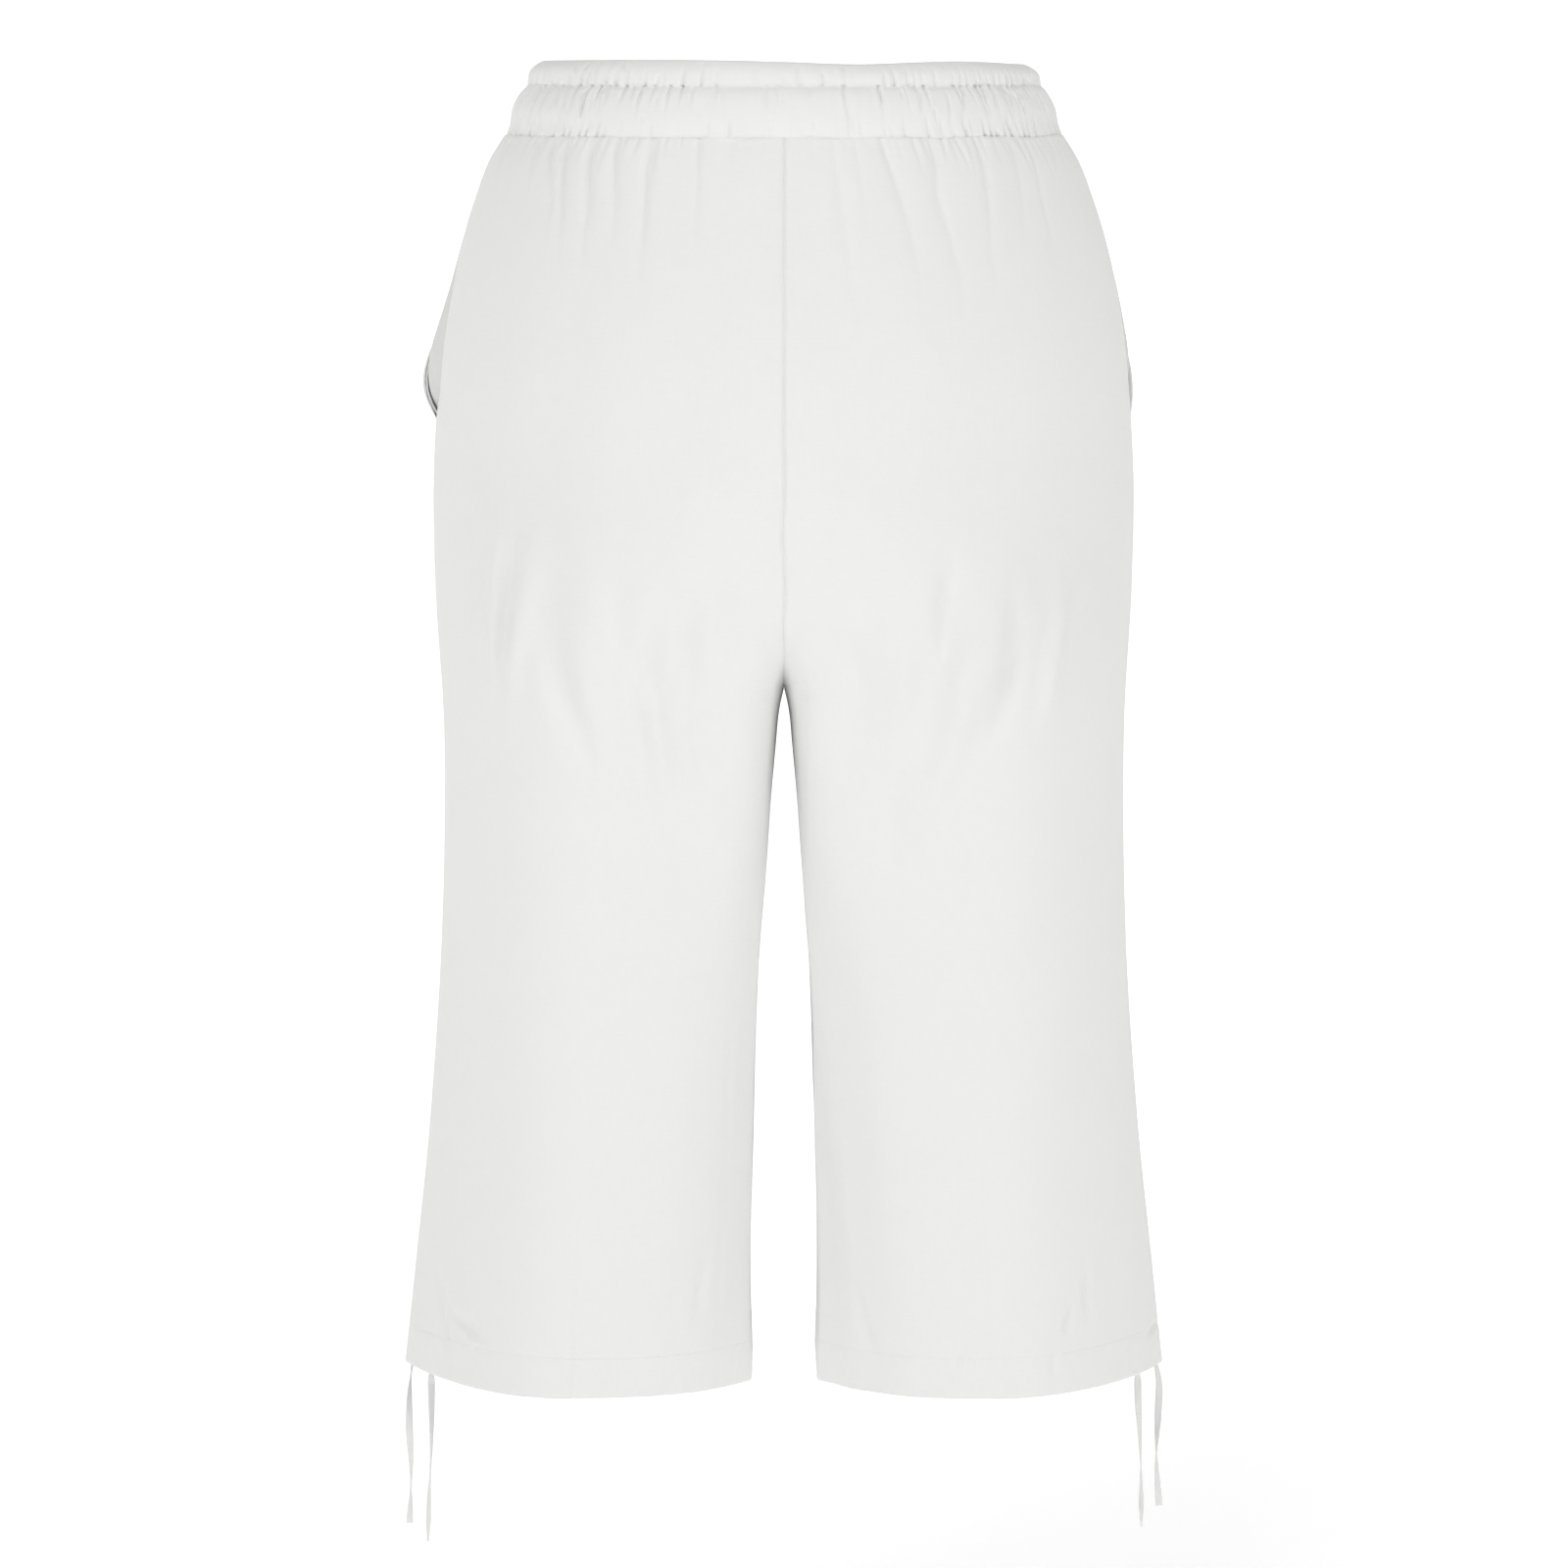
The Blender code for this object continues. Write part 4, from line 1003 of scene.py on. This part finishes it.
def add_pocket_facing(side):
    """The pocket's back layer: level with the back panel at the side seam, where it
    shows beside the mouth, and sunk below the front panel and the bag beyond it."""
    _, end, share, level = pocket_grid()
    turn = end * share ** 1.5
    pace = through(RINGS, 3, level)
    in_front = -turn * pace
    strip = -mouth_turn(level) * pace
    sunk = ease(in_front / np.maximum(strip * 0.80, 0.0001))
    showing = ease(strip / 0.014) * (1.0 - sunk)
    under = PANEL_WALL + SEAM_GAP + 0.0010 + LAYER_GAP
    crumple = wander(level + 0.6 * in_front, 0.016, 61) * ease((POCKET_END + 0.05 - level) / 0.03)
    height = main_relief(side, turn, level) - under * (1.0 - showing)
    height += FACING_CRUMPLE * crumple * showing
    height += FACING_FOLLOWS * gape_relief(side, turn, level) * ease(in_front / 0.006)
    height += np.where(in_front < 0.004, seam_relief(in_front, 0.0), 0.0) * showing
    return add_pocket_layer("pocket_facing_" + side, side, turn, level, height)


# ---- waistband

def band_levels():
    """Levels of the waistband's rows, closer at its edges and its stitch line."""
    keys = (0, 6, 20, 30, 50, 57)
    levels = (TOP_EDGE, 0.0252, 0.0142, 0.0108, -0.0112, WAIST_SEAM)
    return trimmed(np.interp(np.arange(58), keys, levels))


def band_sizes(around, level):
    """The waistband's half width, and its depth on each point's own side."""
    half, back, front = (through(BAND_RINGS, column, level) for column in (1, 2, 3))
    return half, np.where(np.sin(around) > 0, back, front)


def band_pace(around, level):
    """Metres along the waistband for one unit of angle."""
    half, depth = band_sizes(around, level)
    return np.hypot(half * np.sin(around), depth * np.cos(around))


def band_puckers(around, level):
    """Small troughs that start at the stitch line and run up the frill or down the
    casing, or rise from the waist seam, crowded at the sides. Each has its own place,
    length, lean, width and depth."""
    pace = band_pace(around, level)
    height = np.zeros(around.shape)
    for seed, start, end, lengths, scale, calm in BAND_PUCKER_KINDS:
        up = 1.0 if end > start else -1.0
        run = (level - start) / (end - start)
        part = (run > -0.02) & (run < 1.02)
        for index in range(BAND_PUCKERS):
            shifted, deeper, wider, leaning, spared, longer = draws(index, seed, 6)
            place = (index + 0.75 * (shifted - 0.5)) / BAND_PUCKERS * math.tau
            crowd = ease((abs(math.cos(place)) - 0.42) / 0.38)
            if spared > 0.35 + 0.65 * crowd:
                continue
            size = calm + (1.0 - calm) * crowd
            trough = scale * ranged(BAND_PUCKER_DEPTH, deeper) * size
            width = ranged(BAND_PUCKER_WIDTH, wider)
            lean = BAND_PUCKER_LEAN * (leaning - 0.5) * crowd
            turn = half_turned(around - place)
            near = part & (np.abs(turn) < PUCKER_WINDOW)
            away = turn[near] * pace[near] - lean * ease(np.abs(run[near]) / 0.35) * up
            fall = 1.0 - ease(run[near] / ranged(lengths, longer * size))
            height[near] -= trough * fall * crease_section((away / width) ** 2, True)
    return height


def band_relief(around, level):
    """The waistband's gathers: small puckers by rule, and creases listed one by one."""
    pace = band_pace(around, level)
    height = band_puckers(around, level)
    for trough, half_width, *route in BAND_CREASES:
        pairs = np.array(route, float).reshape(-1, 2) * MM
        share = pairs[:, 0] / through(BAND_RINGS, 1, pairs[:, 1])
        angles = np.arccos(np.clip(share, -1.0, 1.0))
        for hand, deep, shift in ((1.0, 1.0, 0.0), (-1.0, *FRONT_CREASES)):
            turn = half_turned(around - hand * (angles.mean() + shift))
            near = np.abs(turn) < CREASE_WINDOW
            own_pace = float(pace[near].mean())
            across = hand * (angles - angles.mean()) * own_pace
            points = np.stack([across, pairs[:, 1]], axis=1)
            width = half_width * MM
            shape, along = crease(turn[near] * own_pace, level[near], points, width, True)
            fall = ease(along / 0.10 + 0.45) * (1.0 - ease((along - 0.35) / 0.65))
            height[near] -= deep * trough * MM * shape * fall
    return height


def band_point(around, level, height):
    """Point of the waistband at an angle round it, moved along its ring's normal."""
    half, depth = band_sizes(around, level)
    normal_x, normal_y = np.cos(around) / half, np.sin(around) / depth
    length = np.hypot(normal_x, normal_y)
    x = half * np.cos(around) + normal_x / length * height
    y = depth * np.sin(around) + normal_y / length * height
    angle = np.arctan2(y, x)
    top = ease((level - STITCH_LINE) / (TOP_EDGE - STITCH_LINE))
    lift = waist_wave(angle) * (1.0 - ease((level - WAIST_SEAM) / 0.012))
    lift -= through(EDGE_DIPS, 1, angle % math.tau) * MM * top
    lift += 0.0003 * wander(angle, 0.23, 4) * bell((level - STITCH_LINE) / 0.004)
    return np.stack([x, y, level + lift], axis=-1)


def band_shape(around, level):
    """Height of the waistband's outer face: gathers, a full casing, the stitch line's
    groove, the folded top edge, the rolled seam and the join."""
    over, turned = TOP_TURN
    edge = np.clip((level - (TOP_EDGE - over)) / over, 0.0, 1.0)
    height = band_relief(around, level) * (1.0 - edge) - turned * (1.0 - np.sqrt(1.0 - edge ** 2))
    down_casing = np.clip((STITCH_LINE - level) / (STITCH_LINE - WAIST_SEAM), 0.0, 1.0)
    height += CASING_FULL * np.sin(math.pi * down_casing)
    height -= STITCH_GROOVE * bell((level - STITCH_LINE) / 0.0012)
    height += waist_seam_relief(level - WAIST_SEAM, around)
    join = math.acos(BAND_JOIN_X / BAND_RINGS[3][1])
    off = np.abs(around - join) * through(BAND_RINGS, 2, level)
    return height + JOIN_SHARE * seam_relief(off)


def add_waistband():
    """The gathered waistband: a frill above the stitch line and a full casing below."""
    around = math.tau * np.arange(BAND_COLUMNS) / BAND_COLUMNS
    level, around = np.meshgrid(band_levels(), around, indexing="ij")
    outer = band_point(around, level, band_shape(around, level))
    over, turned = TOP_TURN_INSIDE
    edge = np.clip((coarse(level) - (TOP_EDGE - over)) / over, 0.0, 1.0)
    height = BAND_INSIDE_SHARE * coarse(band_relief(around, level)) - BAND_SHELL
    height = height * (1.0 - edge) - turned * edge
    inner = band_point(coarse(around), coarse(level), height)
    uv = np.stack([around * TOP_RADIUS, level], axis=-1)
    return add_shell("waistband", outer, inner, uv, cotton, around=True)


# ---- stitches

def add_stitches(name, starts, ends, normals):
    """A row of sewn stitches as one mesh: each is a low six-sided thread that dips into
    the cloth at both ends. starts and ends are its points on the cloth."""
    along = ends - starts
    across = np.cross(normals, along / np.linalg.norm(along, axis=1, keepdims=True))
    angle = math.tau * np.arange(STITCH_SIDES) / STITCH_SIDES
    place, girth, lift = np.array(STITCH_RINGS).T[:, :, None]
    radius = STITCH_THICKNESS / 2
    ways = ((place + 0.0 * angle, along), (radius * girth * np.cos(angle), across),
            (radius * (lift + girth * np.sin(angle)), normals))
    points = (starts + ends)[:, None, None, :] / 2
    for amount, way in ways:
        points = points + amount[None, :, :, None] * way[:, None, None, :]
    index = numbered(points)
    groups = [quads(wrapped(one)) for one in index] + [index[:, 0, ::-1], index[:, -1, :]]
    return add_mesh(name, points, groups, np.zeros((index.size, 2)), thread)


def stitch_places(line, normals):
    """Start, end and normal of each stitch along a fine line of points."""
    along = length_along(line)
    starts = np.arange(STITCH_PITCH / 2, along[-1] - STITCH_LENGTH, STITCH_PITCH)

    def at(stations, values):
        return np.stack([np.interp(stations, along, column) for column in values.T], axis=1)

    facing = at(starts, normals)
    facing = facing / np.linalg.norm(facing, axis=1, keepdims=True)
    return at(starts, line), at(starts + STITCH_LENGTH, line), facing


def sewn_line(panel, turn, level):
    """Places of the stitches along a line on a panel's outer face."""
    side = panel.split("_")[1]
    return stitch_places(*lifted(side, turn, level, panel_relief(panel, turn, level)))


def add_stitching():
    """The threads that show: round each hem, under the frill and beside each mouth."""
    for side in HANDS:
        turn = np.linspace(0.012, math.pi - 0.012, 700)
        level = np.full(turn.shape, HEM_FOLD)
        rows = sewn_line("back_" + side, turn, level), sewn_line("front_" + side, -turn, level)
        add_stitches("hem_stitching_" + side, *(np.concatenate(both) for both in zip(*rows)))
        level = np.linspace(WAIST_SEAM - 0.004, POCKET_END + 0.004, 400)
        turn = mouth_turn(level) - MOUTH_STITCH_IN / pace_of(mouth_turn(level), level)
        add_stitches("pocket_stitching_" + side, *sewn_line("front_" + side, turn, level))
    around = np.linspace(0.0, math.tau, 2400)
    level = np.full(around.shape, STITCH_LINE)
    line = band_point(around, level, band_shape(around, level) + 0.00012)
    normals = band_point(around, level, MM) - band_point(around, level, 0.0)
    normals[:, 2] = 0.0
    add_stitches("waist_stitching", *stitch_places(line, normals))


# ---- ties

def smooth_route(points, count):
    """Evenly spaced points on a smooth curve through a short list of points."""
    along = length_along(points)
    table = [(station, *point) for station, point in zip(along, points)]
    stations = np.linspace(0.0, along[-1], count)
    return np.stack([through(table, column, stations) for column in (1, 2, 3)], axis=-1), stations


def rounded(value, power):
    """A power of a value with its sign kept, which squares up a circle below 1."""
    return np.sign(value) * np.abs(value) ** power


def add_tie(name, turn, faces, twist, tip, drops):
    """A narrow tie of folded cloth, tucked up behind the hem, that turns as it hangs.

    Its section is a flat oval with a sewn groove near one edge, carried along the route
    and turned steadily about it.
    """
    side = name.split("_")[2]
    hand = HANDS[side]
    under = np.array(-(HEM_WALL + LAYER_GAP + TIE_WALL / 2))
    route = [lifted(side, turn, HEM + rise, under)[0]
             for rise in (TIE_TUCK, TIE_TUCK / 2, TIE_EXIT_RISE)]
    leaves = route[-1]
    for outwards, backwards, drop in drops:
        route.append((leaves[0] + hand * outwards, leaves[1] + backwards, HEM - drop))
    centres, stations = smooth_route(np.array(route), TIE_ROWS)
    _, normal = ring_point(side, turn, HEM)
    wide = np.cross((0.0, 0.0, 1.0), normal)
    free = np.clip((stations - TIE_TUCK) / (stations[-1] - TIE_TUCK), 0.0, 1.0)
    angle = twist * free - hand * faces * ease(free / 0.10)
    angle = (angle + 0.10 * wander(stations, 0.045, 15) * ease(free / 0.2))[:, None, None]
    across = wide * np.cos(angle) + normal * np.sin(angle)
    thick = normal * np.cos(angle) - wide * np.sin(angle)
    narrow = ease((stations[-1] - stations) / TIE_POINT_LENGTH)
    half = TIE_WIDTH / 2 * (tip + (1.0 - tip) * narrow)
    corner = math.tau * (np.arange(TIE_CORNERS) + 0.5) / TIE_CORNERS
    section_x, section_y = rounded(np.cos(corner), 0.45), rounded(np.sin(corner), 0.75)
    section_y = section_y * (1.0 - 0.30 * bell((section_x - 0.62) / 0.13))
    out = half[:, None] * section_x
    soft = TIE_WALL * 0.44 * (1.0 + 0.10 * wander(stations, 0.011, 25))[:, None] * section_y
    points = centres[:, None, :] + across * out[..., None] + thick * soft[..., None]
    index = numbered(points)
    groups = [quads(wrapped(index)), index[:1, ::-1], index[-1:, :]]
    uv = np.stack(np.broadcast_arrays(out, stations[:, None]), axis=-1)
    piece = add_mesh(name + "_strip", points, groups, uv, tie_cotton)
    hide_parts(name)


# ---- materials

def linear(code):
    """Linear colour of an sRGB hex code."""
    values = [int(code[i:i + 2], 16) / 255 for i in (1, 3, 5)]
    return [v / 12.92 if v <= 0.04045 else ((v + 0.055) / 1.055) ** 2.4 for v in values] + [1.0]


def set_inputs(node, values):
    """Constant values on a node's own sockets."""
    for socket, value in values.items():
        node.inputs[socket].default_value = value


def add_node(tree, kind, links=(), inputs=None, **settings):
    """A shader node with its settings, its constant inputs, and its links in, each of
    which is (input, other node, output)."""
    node = tree.nodes.new("ShaderNode" + kind)
    for key, value in settings.items():
        setattr(node, key, value)
    set_inputs(node, inputs or {})
    for socket, other, output in links:
        tree.links.new(other.outputs[output], node.inputs[socket])
    return node


def new_material(name):
    """An empty material, its node tree and its shader."""
    material = bpy.data.materials.new(name)
    material.use_nodes = True
    return material, material.node_tree, material.node_tree.nodes["Principled BSDF"]


def woven(name, light, dark, thread_pitch, relief, roughness):
    """Plain-woven cotton: bleached, unglazed threads that scatter light evenly.

    Warp and weft are two sets of bands that take turns to lie on top. Slubs are noise
    drawn out along each. A wider noise gives the rumples of washed cloth.
    """
    material, tree, shader = new_material(name)
    place = add_node(tree, "TexCoord")
    # A wave node's band is pi / 10 wide at scale 1
    wave = {"Scale": math.pi / 10 / thread_pitch, "Distortion": 1.2, "Detail": 2.0,
            "Detail Scale": 1.5}
    bands = [add_node(tree, "TexWave", [("Vector", place, "UV")], wave, wave_type="BANDS",
                      bands_direction=direction) for direction in ("X", "Y")]
    weave = add_node(tree, "Math", [(0, bands[0], "Fac"), (1, bands[1], "Fac")],
                     operation="MULTIPLY")
    slubs = []
    for stretch in ((900.0, 90.0, 1.0), (90.0, 900.0, 1.0)):
        drawn = add_node(tree, "Mapping", [("Vector", place, "UV")], {"Scale": stretch})
        slubs.append(add_node(tree, "TexNoise", [("Vector", drawn, "Vector")],
                              {"Scale": 1.0, "Detail": 2.0}))
    slub = add_node(tree, "Math", [(0, slubs[0], "Fac"), (1, slubs[1], "Fac")], operation="ADD")
    rumple = add_node(tree, "TexNoise", [("Vector", place, "Object")],
                      {"Scale": 75.0, "Detail": 3.0})
    fine = add_node(tree, "Math", [(0, weave, "Value"), (1, slub, "Value")], operation="ADD")
    cloth = add_node(tree, "Bump", [("Height", fine, "Value")],
                     {"Strength": relief, "Distance": 0.00030})
    bump = add_node(tree, "Bump", [("Height", rumple, "Fac"), ("Normal", cloth, "Normal")],
                    {"Strength": 0.12, "Distance": 0.0012})
    shade = add_node(tree, "MapRange", [("Value", slub, "Value")],
                     {"From Min": 0.7, "From Max": 1.3})
    colour = add_node(tree, "Mix", [("Factor", shade, "Result")],
                      {6: linear(dark), 7: linear(light)}, data_type="RGBA")
    rough = add_node(tree, "MapRange", [("Value", weave, "Value")],
                     {"To Min": roughness - 0.05, "To Max": roughness + 0.05})
    for node, output, socket in ((bump, "Normal", "Normal"), (colour, 2, "Base Color"),
                                 (rough, "Result", "Roughness")):
        tree.links.new(node.outputs[output], shader.inputs[socket])
    set_inputs(shader, {"Specular IOR Level": 0.25, "Sheen Weight": 0.12, "Sheen Roughness": 0.6})
    return material


def studio_material():
    """Matt white paper of a studio sweep, which also glows a little, more on its far side."""
    material, tree, shader = new_material("white_studio_paper")
    set_inputs(shader, {"Base Color": linear("#F6F6F6"), "Roughness": 0.9,
                        "Emission Color": linear("#FFFFFF")})
    place = add_node(tree, "TexCoord")
    split = add_node(tree, "SeparateXYZ", [("Vector", place, "Object")])
    glow = add_node(tree, "MapRange", [("Value", split, "Y")],
                    {"From Min": 0.5, "From Max": -1.5, "To Min": 0.27, "To Max": 0.50})
    tree.links.new(glow.outputs["Result"], shader.inputs["Emission Strength"])
    return material


# ---- studio

def add_camera():
    """A level camera behind the garment, a little above its waist, tipped down."""
    data = bpy.data.cameras.new("camera")
    data.lens, data.sensor_width = 120.0, 36.0
    turned = (math.radians(90.0 - CAMERA_TIPPED), 0.0, math.pi)
    bpy.context.scene.camera = add_object("camera", data, CAMERA_PLACE, turned)


def add_floor():
    """A round floor that curves up into a low wall, a profile turned about the middle."""
    reach, rise = np.array(FLOOR_PROFILE).T[:, :, None]
    turn = math.tau * np.arange(FLOOR_CORNERS) / FLOOR_CORNERS
    points = np.stack([reach * np.cos(turn), reach * np.sin(turn),
                       rise + 0.0 * turn + FLOOR_LEVEL], axis=-1)
    mesh = bpy.data.meshes.new("studio_floor")
    faces = quads(wrapped(numbered(points)))
    mesh.from_pydata(points.reshape(-1, 3).tolist(), [], faces.tolist())
    mesh.shade_smooth()
    mesh.materials.append(studio_material())
    add_object("studio_floor", mesh)


def add_light(name, size, power, location, turned=(0.0, 0.0, 0.0)):
    """A soft rectangular light. It faces straight down until it is turned."""
    data = bpy.data.lights.new(name, "AREA")
    data.shape = "RECTANGLE"
    data.size, data.size_y = size
    data.energy = power
    add_object(name, data, location, turned)


def add_softbox(name, azimuth, elevation, size, power):
    """A square soft light that faces the garment's middle. Its azimuth is in degrees from
    straight behind the garment towards the wearer's left."""
    turn, rise = math.radians(azimuth), math.radians(elevation)
    x, y, z = math.sin(turn) * math.cos(rise), math.cos(turn) * math.cos(rise), math.sin(rise)
    location = [SOFTBOX_DISTANCE * way for way in (x, y, z)]
    location[2] += GARMENT_MIDDLE
    turned = (math.atan2(math.hypot(x, y), z), 0.0, math.atan2(y, x) + math.pi / 2)
    add_light(name, (size, size), power, location, turned)


def add_studio():
    """A pale sky, a paper floor, a wide light down on its far side, and soft lights on
    both sides, behind the garment and before it."""
    world = bpy.data.worlds.new("studio")
    world.use_nodes = True
    set_inputs(world.node_tree.nodes["Background"],
               {"Color": (1.0, 1.0, 1.0, 1.0), "Strength": SKY_STRENGTH})
    bpy.context.scene.world = world
    bpy.context.scene.view_settings.view_transform = "Standard"
    add_floor()
    add_light("sweep_light", (4.0, 8.0), 75.0, (0.0, -4.9, 3.2))
    for softbox in SOFTBOXES:
        add_softbox(*softbox)


# ---- making it

add_camera()

# Bleached plain-woven cotton, about 170 g/m2. Its threads are about 0.45 mm apart, too
# fine to show from here, so they are drawn 0.9 mm apart.
cotton = woven("plain_woven_cotton", "#E3E3E2", "#E1E1E0", 0.0009, 0.08, 0.86)
# The same fibre in a thinner weave, drawn greyer than the cloth as painted shade for the pocket's
# inside
pocket_cotton_painted_shade = woven("pocket_cotton_painted_shade", "#D6D6D5", "#D2D2D1", 0.0007, 0.10, 0.88)
# A strip of the cotton, folded, pressed and sewn, with its threads along it
tie_cotton = woven("folded_cotton_strip", "#E1E1E0", "#DDDDDC", 0.0008, 0.25, 0.84)
# Spun polyester sewing thread, smoother and a little glossier than the cloth
thread = woven("white_sewing_thread", "#E3E3E2", "#E0E0DF", 0.0005, 0.10, 0.60)

for tie_name, tie_sizes in TIES.items():
    add_tie(tie_name, *tie_sizes)

add_waistband()
for side_name in HANDS:
    for piece, flat, area in (
            (add_panel("back", side_name), (0.340, 0.735), 0.198),
            (add_panel("front", side_name), (0.310, 0.735), 0.180),
            (add_pocket_facing(side_name), (0.130, 0.230), 0.0225),
            (add_pocket_bag(side_name), (0.110, 0.230), 0.0185)):
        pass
add_stitching()
add_studio()
